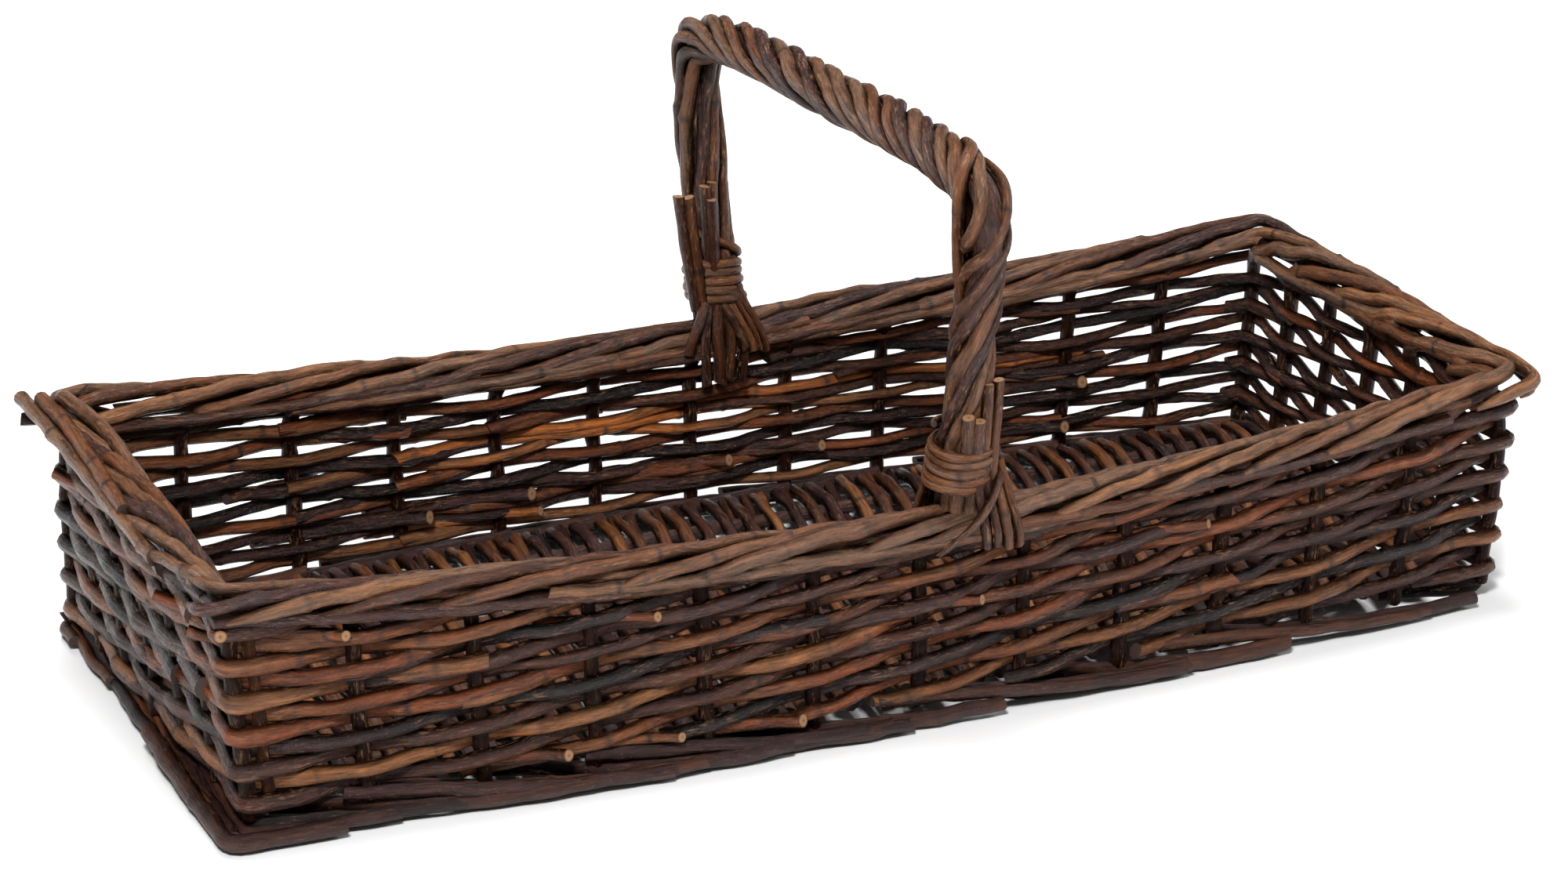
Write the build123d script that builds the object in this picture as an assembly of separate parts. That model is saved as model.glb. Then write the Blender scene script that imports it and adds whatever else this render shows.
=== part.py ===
from build123d import *
import math
import os
from collections import namedtuple

# A rectangular willow trug: a flat stick-and-rod base, four randed walls on upright stakes,
# a border made by turning the stakes down, a foot border of thicker rods, and one fixed
# hoop handle roped with rods. X runs along the basket, -Y is the front, Z = 0 is the ground.

# Overall sizes
LENGTH = 600.0
WIDTH = 239.0
CORNER_HEIGHT = 104.5
SIDE_BOW = 13.0
RIM_DIP = 11.0
END_LEAN = 8.0

# Rods
STAKE_DIAMETER = 6.0
WEAVER_DIAMETER = 5.0
FOOT_ROD_DIAMETER = 8.4
FOOT_ROD_LIFT = 4.0
BASE_STICK_DIAMETER = 6.6
BASE_ROD_DIAMETER = 4.8
BASE_ROD_PITCH = 7.6
BASE_GROUND_CLEARANCE = 0.9
CLEARANCE = 0.3
WEAVE_CLEARANCE = 0.5

# Handle
HANDLE_OFFSET = 12.7
HANDLE_HEIGHT = 226.0
HANDLE_TOP_HALF_SPAN = 138.0
HANDLE_BEND_RADIUS = 17.0
BOW_DIAMETER = 11.0
BOW_NECK_DIAMETER = 8.0
BOW_FOOT_DIAMETER = 6.2
BOW_TAPER = 16.0
ROPE_ROD_DIAMETER = 5.0
ROPE_RADIUS = 10.3
ROPE_NECK_RADIUS = 7.05
LASHING_DIAMETER = 4.0
LASHING_HEIGHT = 7.0
TIE_DIAMETER = 4.0
LASHING_BITE = 0.5
STUB_LENGTH = 38.0

# Counts
LONG_WALL_BAYS = 12
SHORT_WALL_BAYS = 6
WEAVE_ROWS = 10
ROPE_RODS = 8
ROPE_TURNS_ON_BAR = 2.75
ROPE_STEPS_PER_TURN = 5
ROPE_TURN_ON_LEG = 0.5
LASHING_TURNS = 5
ROUND_SIDES = 6
FINE_SIDES = 4
LASHING_SIDES_PER_TURN = 8

# Places across the border band as shares of its rod spacing: out from the wall, and down from
# the top rod. A turned-down stake steps from each place to the next at each upright it passes.
BORDER_STEP_SHARES = [(-0.60, 0.00), (0.40, 0.00), (1.29, -0.50), (1.83, -1.34)]
# The foot rods' places: out from the wall in rod spacings, and the share of the lift.
FOOT_STEP_SHARES = [(0.00, -1.00, 1.0), (0.85, -0.15, 0.0), (1.15, 0.15, 0.0), (2.00, 1.00, 1.0)]
# Where a stake leaves the upright and where it lies down, in rod spacings.
STAKE_BEND_SHARES = [(0.0, 0.0, -1.3), (0.8, -0.6, 0.0)]
TOP_ROW_DEPTH_SHARE = 1.75
# Fan of tie rods on the outside of each border: degrees round the leg, and the spread at the
# border as a share of the border band's width.
TIE_FAN_SHARES = [(-46.0, -0.55), (2.0, 0.18), (30.0, 0.45), (58.0, 0.72), (86.0, 0.99)]
STUB_SPREAD_SHARES = [-1.5, -0.5, 0.5, 1.5]
BASE_STICK_PLACE_SHARES = [-0.82, -0.28, 0.28, 0.82]

SLANT_SHARE = math.cos(math.radians(15.0))
HEX_SHARE = math.cos(math.radians(30.0))

# Worked-out sizes
stake_radius = STAKE_DIAMETER / 2
weaver_radius = WEAVER_DIAMETER / 2
foot_radius = FOOT_ROD_DIAMETER / 2
border_spacing = (STAKE_DIAMETER + CLEARANCE) / SLANT_SHARE
border_reach = BORDER_STEP_SHARES[-1][0] * border_spacing + stake_radius
border_inner = -BORDER_STEP_SHARES[0][0] * border_spacing + stake_radius
border_top = CORNER_HEIGHT - stake_radius
crest = stake_radius + WEAVE_CLEARANCE + weaver_radius
wall_half = crest + weaver_radius
foot_spacing = FOOT_ROD_DIAMETER + CLEARANCE
foot_axis = foot_radius * HEX_SHARE
foot_reach = foot_spacing + foot_radius
foot_top = 2 * foot_axis + FOOT_ROD_LIFT
stake_seat = 2 * foot_axis + CLEARANCE
mid_length = LENGTH / 2 - border_reach
mid_width = WIDTH / 2 - border_reach
low_length = mid_length - END_LEAN
low_row = foot_top + CLEARANCE + weaver_radius
high_row = border_top - TOP_ROW_DEPTH_SHARE * border_spacing
row_pitch = (high_row - low_row) / (WEAVE_ROWS - 1)
long_bay = 2 * mid_length / LONG_WALL_BAYS
short_bay = 2 * mid_width / SHORT_WALL_BAYS
base_edge = foot_reach + WEAVE_CLEARANCE
base_crest = (BASE_STICK_DIAMETER + BASE_ROD_DIAMETER) / 2 + CLEARANCE
base_axis = BASE_GROUND_CLEARANCE + base_crest + BASE_ROD_DIAMETER / 2

Wall = namedtuple("Wall", "name along out_from half bow dip uprights start end foot_start foot_end bow_at")


def long_uprights(sense):
    """Upright places of a long wall; the middle bay point is shared by a stake and the bow."""
    places = [(i - LONG_WALL_BAYS / 2) * long_bay for i in range(LONG_WALL_BAYS + 1)]
    return places, sense * HANDLE_OFFSET


def make_walls():
    short_places = [(i - SHORT_WALL_BAYS / 2) * short_bay for i in range(SHORT_WALL_BAYS + 1)]
    front_places, front_bow = long_uprights(-1)
    back_places, back_bow = long_uprights(1)
    long_edge = LENGTH / 2
    foot_edge = mid_length + foot_reach
    short_edge = mid_width - border_inner - CLEARANCE
    short_foot_edge = mid_width - foot_reach
    x_axis = Vector(1, 0, 0)
    y_axis = Vector(0, 1, 0)
    return [
        Wall("front", x_axis * -1, y_axis * -1, mid_width, SIDE_BOW, RIM_DIP, front_places,
             -long_edge, long_edge, -foot_edge, foot_edge, front_bow),
        Wall("right", y_axis * -1, x_axis, mid_length, 0, 0, short_places,
             -short_edge, short_edge, -short_foot_edge, short_foot_edge, None),
        Wall("back", x_axis, y_axis, mid_width, SIDE_BOW, RIM_DIP, back_places,
             -long_edge, long_edge, -foot_edge, foot_edge, back_bow),
        Wall("left", y_axis, x_axis * -1, mid_length, 0, 0, short_places,
             -short_edge, short_edge, -short_foot_edge, short_foot_edge, None),
    ]


def place(wall, along, out, height):
    """A point of a wall. The long walls are bowed out and dip towards their middle; the end walls
    lean out to their border, and the long walls narrow down to the ground with them."""
    middle_share = max(0, 1 - (along / mid_length) ** 2)
    height_share = max(0, (height - foot_top) / (CORNER_HEIGHT - foot_top))
    lean = END_LEAN * max(0, 1 - height / border_top)
    if wall.bow_at is None:
        out = out - lean
    else:
        along = along * (1 - lean / mid_length)
    side = wall.out_from * (wall.half + wall.bow * middle_share + out)
    up = Vector(0, 0, height - wall.dip * middle_share * height_share)
    return wall.along * along + side + up


def rod(points, diameter, sides=ROUND_SIDES):
    """One rod: a many-sided section carried along straight runs with mitred bends."""
    start = points[0]
    direction = points[1] - start
    level = Vector(0, 0, 1).cross(direction)
    if level.length < CLEARANCE:
        level = Vector(1, 0, 0)
    section = Plane(origin=start, x_dir=level, z_dir=direction) * RegularPolygon(diameter / 2, sides)
    return sweep(section, path=Polyline(*points), transition=Transition.RIGHT)


def between(a, b, share):
    return tuple(p + (q - p) * share for p, q in zip(a, b))


def clip_run(run, start, end):
    """Cuts a run of (along, out, height) points to the stretch between two edges."""
    kept = []
    for a, b in zip(run, run[1:]):
        for edge in (start, end):
            if a[0] < edge < b[0]:
                cut = between(a, b, (edge - a[0]) / (b[0] - a[0]))
                if edge == start:
                    a = cut
                else:
                    b = cut
        if b[0] <= start or a[0] >= end:
            continue
        if not kept:
            kept.append(a)
        kept.append(b)
    return kept


def upright_at(wall, index):
    """Upright places, carried on past both ends of the wall at its bay width."""
    bay = wall.uprights[1] - wall.uprights[0]
    last = len(wall.uprights) - 1
    if index < 0:
        return wall.uprights[0] + index * bay
    if index > last:
        return wall.uprights[last] + (index - last) * bay
    return wall.uprights[index]


def part_round_bow(wall, run):
    """Spreads the border rods round the bow where it comes up through them."""
    if wall.bow_at is None:
        return run
    reach = BOW_FOOT_DIAMETER / 2 + stake_radius
    room = reach + CLEARANCE
    parted = [run[0]]
    for a, b in zip(run, run[1:]):
        if a[0] < wall.bow_at - reach and wall.bow_at + reach < b[0]:
            for edge in (wall.bow_at - reach, wall.bow_at + reach):
                along, out, height = between(a, b, (edge - a[0]) / (b[0] - a[0]))
                parted.append((along, parted_out(out, room), height))
        parted.append(b)
    return parted


def parted_out(out, room):
    """Inner rods go to the bow's inner side; outer rods keep their order on its outer side."""
    first_outer = BORDER_STEP_SHARES[1][0] * border_spacing
    if out < first_outer:
        return -room
    return out + room - first_outer


def border_run(wall, index):
    """The lying stretch of the border rod that starts at one upright."""
    run = []
    for step, (out_share, down_share) in enumerate(BORDER_STEP_SHARES):
        along = upright_at(wall, index + step)
        if step == 0:
            along += STAKE_BEND_SHARES[1][0] * border_spacing
        run.append((along, out_share * border_spacing, border_top + down_share * border_spacing))
    return part_round_bow(wall, clip_run(run, wall.start, wall.end))


def stake_and_border(wall, index):
    """One stake: up from the foot border, through the weave, turned down into the border."""
    along = wall.uprights[index]
    bend_height = border_top + STAKE_BEND_SHARES[0][2] * border_spacing
    points = [(along, 0, stake_seat), (along, 0, bend_height)]
    points += border_run(wall, index)
    return rod([place(wall, *p) for p in points], STAKE_DIAMETER)


def stakes(wall):
    first = 0 if wall.bow_at is not None else 1
    return [stake_and_border(wall, i) for i in range(first, len(wall.uprights) - 1)]


def laid_in_border_rods(wall):
    """The border rods that start at the wall's first corner, with no stake below them."""
    steps = len(BORDER_STEP_SHARES) - 1
    first = 0 if wall.bow_at is not None else 1
    rods = []
    for index in range(first - steps + 1, first):
        run = border_run(wall, index)
        rods.append(rod([place(wall, *p) for p in run], STAKE_DIAMETER))
    return rods


def end_posts(walls):
    """The posts at the far end of each long wall, cut off under the border."""
    posts = []
    for wall in walls:
        if wall.bow_at is not None:
            top = border_top + STAKE_BEND_SHARES[0][2] * border_spacing
            ends = [place(wall, wall.uprights[-1], 0, h) for h in (stake_seat, top)]
            posts.append(rod(ends, STAKE_DIAMETER))
    return posts


def weaver(wall, row):
    """One weaving rod: in front of one upright and behind the next, for one row of one wall."""
    height = low_row + row * row_pitch
    is_long = wall.bow_at is not None
    wraps = (row % 2 == 0) == is_long
    side = 1 if wraps else -1
    run = []
    for i, along in enumerate(wall.uprights):
        out = side * crest if i % 2 == 0 else -side * crest
        run.append((along, out, height))
        if is_long and i == len(wall.uprights) // 2:
            run.append((wall.bow_at, out, height))
    run.sort()
    points = [place(wall, *p) for p in run]
    if wraps:
        points = corner_hook(wall, -1, height) + points + corner_hook(wall, 1, height)
    return rod(points, WEAVER_DIAMETER, FINE_SIDES)


def corner_hook(wall, sense, height):
    """The end of a weaver that turns round the outside of a corner post."""
    corner = sense * (wall.uprights[-1] + crest)
    tip = place(wall, corner, -wall_half, height)
    bend = place(wall, corner, crest, height)
    return [tip, bend] if sense < 0 else [bend, tip]


def weave(wall):
    return [weaver(wall, row) for row in range(WEAVE_ROWS)]


def foot_rods(wall):
    """Foot border: each thick rod comes from inside, touches the ground and rises outside. It
    was worked with the basket upside down, so it turns the other way round from the border."""
    rods = []
    for index in range(-1, len(wall.uprights)):
        run = []
        for step, out_share, lift_share in FOOT_STEP_SHARES:
            whole = int(step)
            a = upright_at(wall, index + whole)
            b = upright_at(wall, index + whole + 1)
            along = a + (b - a) * (step - whole)
            run.append((along, out_share * foot_spacing, foot_axis + lift_share * FOOT_ROD_LIFT))
        run = clip_run(run, wall.foot_start, wall.foot_end)
        if len(run) > 1 and run[-1][0] - run[0][0] > FOOT_ROD_DIAMETER:
            rods.append(rod([place(wall, -along, *rest) for along, *rest in run], FOOT_ROD_DIAMETER))
    return rods


def base_half_width(x):
    return mid_width + SIDE_BOW * (1 - (x / low_length) ** 2) - base_edge


def base_sticks():
    """The long sticks of the base, between the foot borders of the two ends."""
    reach = low_length - base_edge
    sticks = []
    for share in BASE_STICK_PLACE_SHARES:
        y = share * base_half_width(reach)
        sticks.append(rod([Vector(-reach, y, base_axis), Vector(reach, y, base_axis)],
                          BASE_STICK_DIAMETER))
    return sticks


def base_cross_rods():
    """Short rods woven over and under the long sticks, side by side along the base."""
    reach = low_length - base_edge - BASE_ROD_DIAMETER / 2
    count = int(2 * reach / BASE_ROD_PITCH)
    rods = []
    for j in range(count + 1):
        x = (j - count / 2) * BASE_ROD_PITCH
        half = base_half_width(x)
        side = 1 if j % 2 == 0 else -1
        points = [Vector(x, -half, base_axis)]
        for k, share in enumerate(BASE_STICK_PLACE_SHARES):
            rise = side * base_crest if k % 2 == 0 else -side * base_crest
            points.append(Vector(x, share * base_half_width(low_length - base_edge), base_axis + rise))
        points.append(Vector(x, half, base_axis))
        rods.append(rod(points, BASE_ROD_DIAMETER, FINE_SIDES))
    return rods


# The handle is drawn in the plane across the basket at the handle's place. Its path starts at
# the front border and ends at the back border, the same on both sides.
bow_entry = place(make_walls()[0], HANDLE_OFFSET, 0, border_top)
leg_foot_y = -bow_entry.Y
leg_foot_z = bow_entry.Z + stake_radius
leg_slope = (HANDLE_TOP_HALF_SPAN - leg_foot_y) / (HANDLE_HEIGHT - leg_foot_z)
rope_start_z = leg_foot_z + CLEARANCE + leg_slope * (ROPE_NECK_RADIUS + ROPE_ROD_DIAMETER / 2)
lashing_low_z = rope_start_z + LASHING_HEIGHT
lashing_pitch = LASHING_DIAMETER + 2 * CLEARANCE
lashing_high_z = lashing_low_z + LASHING_TURNS * lashing_pitch


def leg_lean():
    """The direction of the front leg, from the border up to the bend."""
    rise = HANDLE_HEIGHT - leg_foot_z
    return Vector(0, leg_foot_y - HANDLE_TOP_HALF_SPAN, rise).normalized()


def hoop_bend():
    """Centre, start and end angles of the round front bend, in the handle's plane."""
    lean = leg_lean()
    turn = math.atan2(lean.Z, lean.Y)
    tangent = HANDLE_BEND_RADIUS * math.tan(turn / 2)
    corner = Vector(HANDLE_OFFSET, -HANDLE_TOP_HALF_SPAN, HANDLE_HEIGHT)
    return corner, lean, tangent, turn


def leg_point(height):
    """A point of the front leg's axis at a height above the ground."""
    lean = leg_lean()
    start = Vector(HANDLE_OFFSET, -leg_foot_y, leg_foot_z)
    return start + lean * ((height - leg_foot_z) / lean.Z)


def bend_point(share):
    """A point of the front bend's axis, from the leg to the bar, and its direction."""
    corner, lean, tangent, turn = hoop_bend()
    first = corner - lean * tangent
    side = Vector(0, lean.Z, -lean.Y)
    centre = first + side * HANDLE_BEND_RADIUS
    angle = turn * share
    radial = side * -math.cos(angle) + lean * math.sin(angle)
    direction = lean * math.cos(angle) + side * math.sin(angle)
    return centre + radial * HANDLE_BEND_RADIUS, direction


def mirrored(point):
    return Vector(point.X, -point.Y, point.Z)


def bow():
    """The core of the handle: a thick rod bent to a hoop, its ends cut thin to enter the wall."""
    steps = 3
    half = [leg_point(lashing_high_z + BOW_TAPER)]
    half += [bend_point(i / steps)[0] for i in range(steps + 1)]
    hoop = rod(half + [mirrored(p) for p in reversed(half)], BOW_DIAMETER, ROUND_SIDES)
    neck_top = leg_point(lashing_high_z)
    neck_foot = leg_point(rope_start_z)
    entry = Vector(HANDLE_OFFSET, -leg_foot_y, leg_foot_z - BOW_TAPER / 2)
    tip = Vector(HANDLE_OFFSET, -leg_foot_y, foot_top + CLEARANCE)
    lean_plane = Plane(origin=half[0], x_dir=(1, 0, 0), z_dir=leg_lean())
    level_plane = Plane(origin=entry, x_dir=(1, 0, 0), z_dir=(0, 0, 1))

    def section(plane, point, diameter):
        at = Plane(origin=point, x_dir=plane.x_dir, z_dir=plane.z_dir)
        return at * RegularPolygon(diameter / 2, ROUND_SIDES)

    taper = loft([section(lean_plane, half[0], BOW_DIAMETER),
                  section(lean_plane, neck_top, BOW_NECK_DIAMETER)], ruled=True)
    neck = loft([section(lean_plane, neck_top, BOW_NECK_DIAMETER),
                 section(lean_plane, neck_foot, BOW_NECK_DIAMETER)], ruled=True)
    slype = loft([section(lean_plane, neck_foot, BOW_NECK_DIAMETER),
                  section(level_plane, entry, BOW_FOOT_DIAMETER)], ruled=True)
    foot = loft([section(level_plane, entry, BOW_FOOT_DIAMETER),
                 section(level_plane, tip, BOW_FOOT_DIAMETER)], ruled=True)
    leg = taper + neck + slype + foot
    return [hoop + leg + mirror(leg, about=Plane.XZ)]


def hoop_stations():
    """Axis points of the roping with their directions, rope radius and turn so far."""
    stations = []
    lean = leg_lean()
    rope_levels = [
        (rope_start_z, ROPE_NECK_RADIUS, 0.0),
        (lashing_high_z, ROPE_NECK_RADIUS, 0.0),
        (lashing_high_z + BOW_TAPER, ROPE_RADIUS, ROPE_TURN_ON_LEG / 4),
    ]
    for height, radius, turn in rope_levels:
        stations.append((leg_point(height), lean, radius, turn))
    first = leg_point(lashing_high_z + BOW_TAPER)
    last = bend_point(0)[0]
    leg_steps = 3
    for i in range(1, leg_steps + 1):
        share = i / leg_steps
        turn = ROPE_TURN_ON_LEG * (1 + 3 * share) / 4
        stations.append((first + (last - first) * share, lean, ROPE_RADIUS, turn))
    bend_steps = 3
    for i in range(1, bend_steps + 1):
        point, direction = bend_point(i / bend_steps)
        stations.append((point, direction, ROPE_RADIUS, ROPE_TURN_ON_LEG))
    bar_first = stations[-1][0]
    bar_last = mirrored(bar_first)
    bar_steps = round(ROPE_TURNS_ON_BAR * ROPE_STEPS_PER_TURN)
    along_bar = Vector(0, 1, 0)
    for i in range(1, bar_steps):
        share = i / bar_steps
        turn = ROPE_TURN_ON_LEG + ROPE_TURNS_ON_BAR * share
        stations.append((bar_first + (bar_last - bar_first) * share, along_bar, ROPE_RADIUS, turn))
    total = 2 * ROPE_TURN_ON_LEG + ROPE_TURNS_ON_BAR
    front = [s for s in stations[: len(rope_levels) + leg_steps + bend_steps]]
    for point, direction, radius, turn in reversed(front):
        back_direction = Vector(0, direction.Y, -direction.Z)
        stations.append((mirrored(point), back_direction, radius, total - turn))
    return stations


def roping():
    """The rods roped round the bow, straight through the bends and twisting along the bar."""
    stations = hoop_stations()
    x_axis = Vector(1, 0, 0)
    rods = []
    for k in range(ROPE_RODS):
        points = []
        for point, direction, radius, turn in stations:
            angle = math.tau * (turn + k / ROPE_RODS)
            side = direction.cross(x_axis) * -1
            points.append(point + side * (radius * math.cos(angle)) + x_axis * (radius * math.sin(angle)))
        rods.append(rod(points, ROPE_ROD_DIAMETER, FINE_SIDES))
    return rods


def lashing(side):
    """One thin rod wound round the foot of a leg, from low to high, as one unbroken helix."""
    radius = ROPE_NECK_RADIUS + ROPE_ROD_DIAMETER / 2 + LASHING_DIAMETER / 2 - LASHING_BITE
    radius = radius / math.cos(math.pi / LASHING_SIDES_PER_TURN)
    lean = leg_lean()
    x_axis = Vector(1, 0, 0)
    across = lean.cross(x_axis)
    points = []
    for i in range(LASHING_TURNS * LASHING_SIDES_PER_TURN + 1):
        angle = math.tau * i / LASHING_SIDES_PER_TURN
        rise = lashing_low_z + lashing_pitch * i / LASHING_SIDES_PER_TURN
        around = x_axis * (radius * math.cos(angle)) + across * (radius * math.sin(angle))
        point = leg_point(rise) + around
        points.append(point if side < 0 else mirrored(point))
    gap = lashing_pitch - LASHING_DIAMETER
    print("lashing least gap between turns", round(gap, 2))
    return [rod(points, LASHING_DIAMETER, FINE_SIDES)]


def tie_rods(wall):
    """The fan of ties from the lashing over the border, and the cut stubs on the inside."""
    tie_radius = TIE_DIAMETER / 2
    ring = ROPE_NECK_RADIUS + ROPE_ROD_DIAMETER / 2 + tie_radius - LASHING_BITE
    room = BOW_FOOT_DIAMETER / 2 + stake_radius + CLEARANCE
    shift = room - BORDER_STEP_SHARES[1][0] * border_spacing
    step_share = (wall.bow_at / long_bay) % 1
    outermost = between(BORDER_STEP_SHARES[-2], BORDER_STEP_SHARES[-1], step_share)[0] * border_spacing
    face = outermost + stake_radius + shift + CLEARANCE + tie_radius
    band = border_reach + border_inner
    low = border_top + BORDER_STEP_SHARES[-1][1] * border_spacing - stake_radius
    tie_top = lashing_low_z - lashing_pitch + border_top - bow_entry.Z
    sense = wall.along.X
    rods = []
    for degrees, spread_share in TIE_FAN_SHARES:
        angle = math.radians(degrees)
        start = wall.bow_at + sense * ring * math.sin(angle)
        spread = wall.bow_at + sense * spread_share * band
        points = [
            (start, ring * math.cos(angle), tie_top),
            (spread, face, border_top),
            (spread + sense * tie_radius, face, low),
            (spread + sense * TIE_DIAMETER, wall_half + CLEARANCE + tie_radius, low - TIE_DIAMETER),
        ]
        rods.append(rod([place(wall, *p) for p in points], TIE_DIAMETER, FINE_SIDES))
    for share in STUB_SPREAD_SHARES:
        start = wall.bow_at + share * (TIE_DIAMETER + 2 * CLEARANCE)
        inside = -(room + stake_radius + CLEARANCE + tie_radius)
        points = [(start, inside, tie_top), (start, inside, tie_top - STUB_LENGTH)]
        rods.append(rod([place(wall, *p) for p in points], TIE_DIAMETER, FINE_SIDES))
    return rods


def save(name, solids):
    group = Compound(children=[s.solid() for s in solids])
    group.label = name
    export_step(group, f"parts/{name}.step")
    print(name, len(solids), "solids", round(sum(s.volume for s in solids)), "mm3")


def main():
    os.makedirs("parts", exist_ok=True)
    walls = make_walls()
    save("base_long_sticks", base_sticks())
    save("base_cross_rods", base_cross_rods())
    save("end_corner_posts", end_posts(walls))
    for wall in walls:
        save(f"{wall.name}_stakes_and_border", stakes(wall))
        save(f"{wall.name}_laid_in_border_rods", laid_in_border_rods(wall))
        save(f"{wall.name}_weave", weave(wall))
        save(f"{wall.name}_foot_border", foot_rods(wall))
    save("handle_bow", bow())
    save("handle_roping", roping())
    for wall, side in ((walls[0], -1), (walls[2], 1)):
        save(f"{wall.name}_handle_lashing", lashing(side))
        save(f"{wall.name}_handle_ties", tie_rods(wall))


main()
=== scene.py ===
import bpy
import math
from collections import namedtuple

import numpy as np
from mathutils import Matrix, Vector


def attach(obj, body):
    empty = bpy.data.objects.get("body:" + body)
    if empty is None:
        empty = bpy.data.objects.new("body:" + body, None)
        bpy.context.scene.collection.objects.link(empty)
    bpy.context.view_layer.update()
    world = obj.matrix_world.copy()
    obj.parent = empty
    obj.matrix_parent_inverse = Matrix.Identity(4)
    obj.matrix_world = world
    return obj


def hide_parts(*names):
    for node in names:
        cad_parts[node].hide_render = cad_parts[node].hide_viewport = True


# The dressed model of a rectangular willow trug. Every rod is a tube along its own path, with
# knots, buds, taper and cut ends. Lengths are in millimetres until a mesh is made.

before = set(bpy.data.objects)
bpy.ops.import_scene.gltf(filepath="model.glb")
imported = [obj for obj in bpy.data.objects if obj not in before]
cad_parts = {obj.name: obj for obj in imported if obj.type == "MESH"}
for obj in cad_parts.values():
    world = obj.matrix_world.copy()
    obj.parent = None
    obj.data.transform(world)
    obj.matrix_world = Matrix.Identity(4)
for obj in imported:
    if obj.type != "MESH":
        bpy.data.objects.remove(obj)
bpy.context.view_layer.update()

MM = 0.001

# Sizes shared with the CAD model. The half length and width are between the walls' middles.
CORNER_HEIGHT = 104.5
SIDE_BOW = 13.0
RIM_DIP = 11.0
END_LEAN = 8.0
MID_LENGTH = 285.06
MID_WIDTH = 104.56
LOW_LENGTH = MID_LENGTH - END_LEAN
FOOT_TOP = 11.27
STAKE_SEAT = 7.6
BORDER_TOP = 101.5
HANDLE_X = 12.7
LONG_BAYS = 12
SHORT_BAYS = 6
LONG_BAY = 2 * MID_LENGTH / LONG_BAYS
SHORT_BAY = 2 * MID_WIDTH / SHORT_BAYS
LOOP = 2 * (LONG_BAYS + SHORT_BAYS)

# Paths are first laid out at this step, with bays taken as about this long
PATH_STEP = 2.0
ROUGH_BAY = 42.0


def add_object(name, data):
    made = bpy.data.objects.new(name, data)
    bpy.context.scene.collection.objects.link(made)
    return made


# Camera

AZIMUTH = -24.31
ELEVATION = 21.63
DISTANCE = 1.758
TARGET = Vector((-0.0054, 0.0027, 0.0807))
LENS = 95.35
SENSOR = 36.0


def make_camera():
    data = bpy.data.cameras.new("Camera")
    data.lens = LENS
    data.sensor_width = SENSOR
    data.clip_start = 0.05
    data.clip_end = 50
    camera = add_object("Camera", data)
    a, e = math.radians(AZIMUTH), math.radians(ELEVATION)
    back = Vector((math.sin(a) * math.cos(e), -math.cos(a) * math.cos(e), math.sin(e)))
    camera.location = TARGET + back * DISTANCE
    camera.rotation_mode = "QUATERNION"
    camera.rotation_quaternion = (-back).to_track_quat("-Z", "Y")
    bpy.context.scene.camera = camera


# Curves and paths

def ripple(key, x, length):
    """A smooth random wave of about unit size, the same for the same key."""
    rng = np.random.default_rng(key)
    x = np.asarray(x, float)
    total = np.zeros_like(x)
    for _ in range(3):
        wave = length * (0.55 + 0.9 * rng.random())
        total = total + np.sin(2 * np.pi * (x / wave + rng.random()))
    return total / 1.8


def ease(x):
    """A smooth step from 0 to 1."""
    x = np.clip(x, 0, 1)
    return x * x * (3 - 2 * x)


def bell(s, at, width):
    return np.exp(-(((s - at) / width) ** 2))


def arc_length(points):
    """Distance along a path at each of its points."""
    return np.concatenate(([0], np.cumsum(np.linalg.norm(np.diff(points, axis=0), axis=1))))


def hermite(t, values, s):
    """Values at s of a smooth curve through rows of values at t."""
    slope = np.gradient(values, t, axis=0)
    k = np.clip(np.searchsorted(t, s, side="right") - 1, 0, len(t) - 2)
    h = (t[k + 1] - t[k])[:, None]
    u = ((s - t[k])[:, None]) / h
    return ((2 * u**3 - 3 * u**2 + 1) * values[k] + (u**3 - 2 * u**2 + u) * h * slope[k]
            + (3 * u**2 - 2 * u**3) * values[k + 1] + (u**3 - u**2) * h * slope[k + 1])


def resample(points, step):
    """Even steps along a run of close points."""
    points = np.asarray(points, float)
    gaps = np.linalg.norm(np.diff(points, axis=0), axis=1)
    points = points[np.concatenate(([True], gaps > 1e-6))]
    t = arc_length(points)
    s = np.linspace(0, t[-1], max(3, int(round(t[-1] / step)) + 1))
    return np.stack([np.interp(s, t, points[:, i]) for i in range(3)], axis=1)


def smooth_through(points, step=2.5):
    """A smooth path through a few control points."""
    points = np.asarray(points, float)
    t = arc_length(points)
    s = np.linspace(0, t[-1], max(4, int(t[-1] / 1.5)))
    return resample(hermite(t, points, s), step)


def soften(points, rounds):
    """Rounds sharp turns of a path and keeps its ends."""
    p = np.array(points, float)
    for _ in range(rounds):
        p[1:-1] = 0.25 * p[:-2] + 0.5 * p[1:-1] + 0.25 * p[2:]
    return p


def directions(p):
    tangent = np.gradient(p, axis=0)
    return tangent / np.linalg.norm(tangent, axis=1)[:, None]


def path_frame(p):
    """The direction along a path, and two across it that don't turn about it."""
    tangent = directions(p)
    side = np.cross(tangent[0], [0, 0, 1.0])
    if np.linalg.norm(side) < 0.2:
        side = np.array([1.0, 0, 0])
    across = np.zeros_like(p)
    for i in range(len(p)):
        side = side - tangent[i] * side.dot(tangent[i])
        side = side / np.linalg.norm(side)
        across[i] = side
    return tangent, across, np.cross(tangent, across)


# Rods

BARK, CUT = 0, 1
# Lengths of the waves in a rod's path and in its thickness
PATH_WAVE, ROUGH_WAVE = 34, 22
# How far round the rod each bud is from the last one, in radians
BUD_TURN = 2.4
# How much cut ends slant: rise over run, from the squarest to the most slanting
SLANTS = (0.1, 0.75)
# The bark's pattern starts at a random place on each rod, up to this far away
PATTERN_REACH = 400
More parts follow.
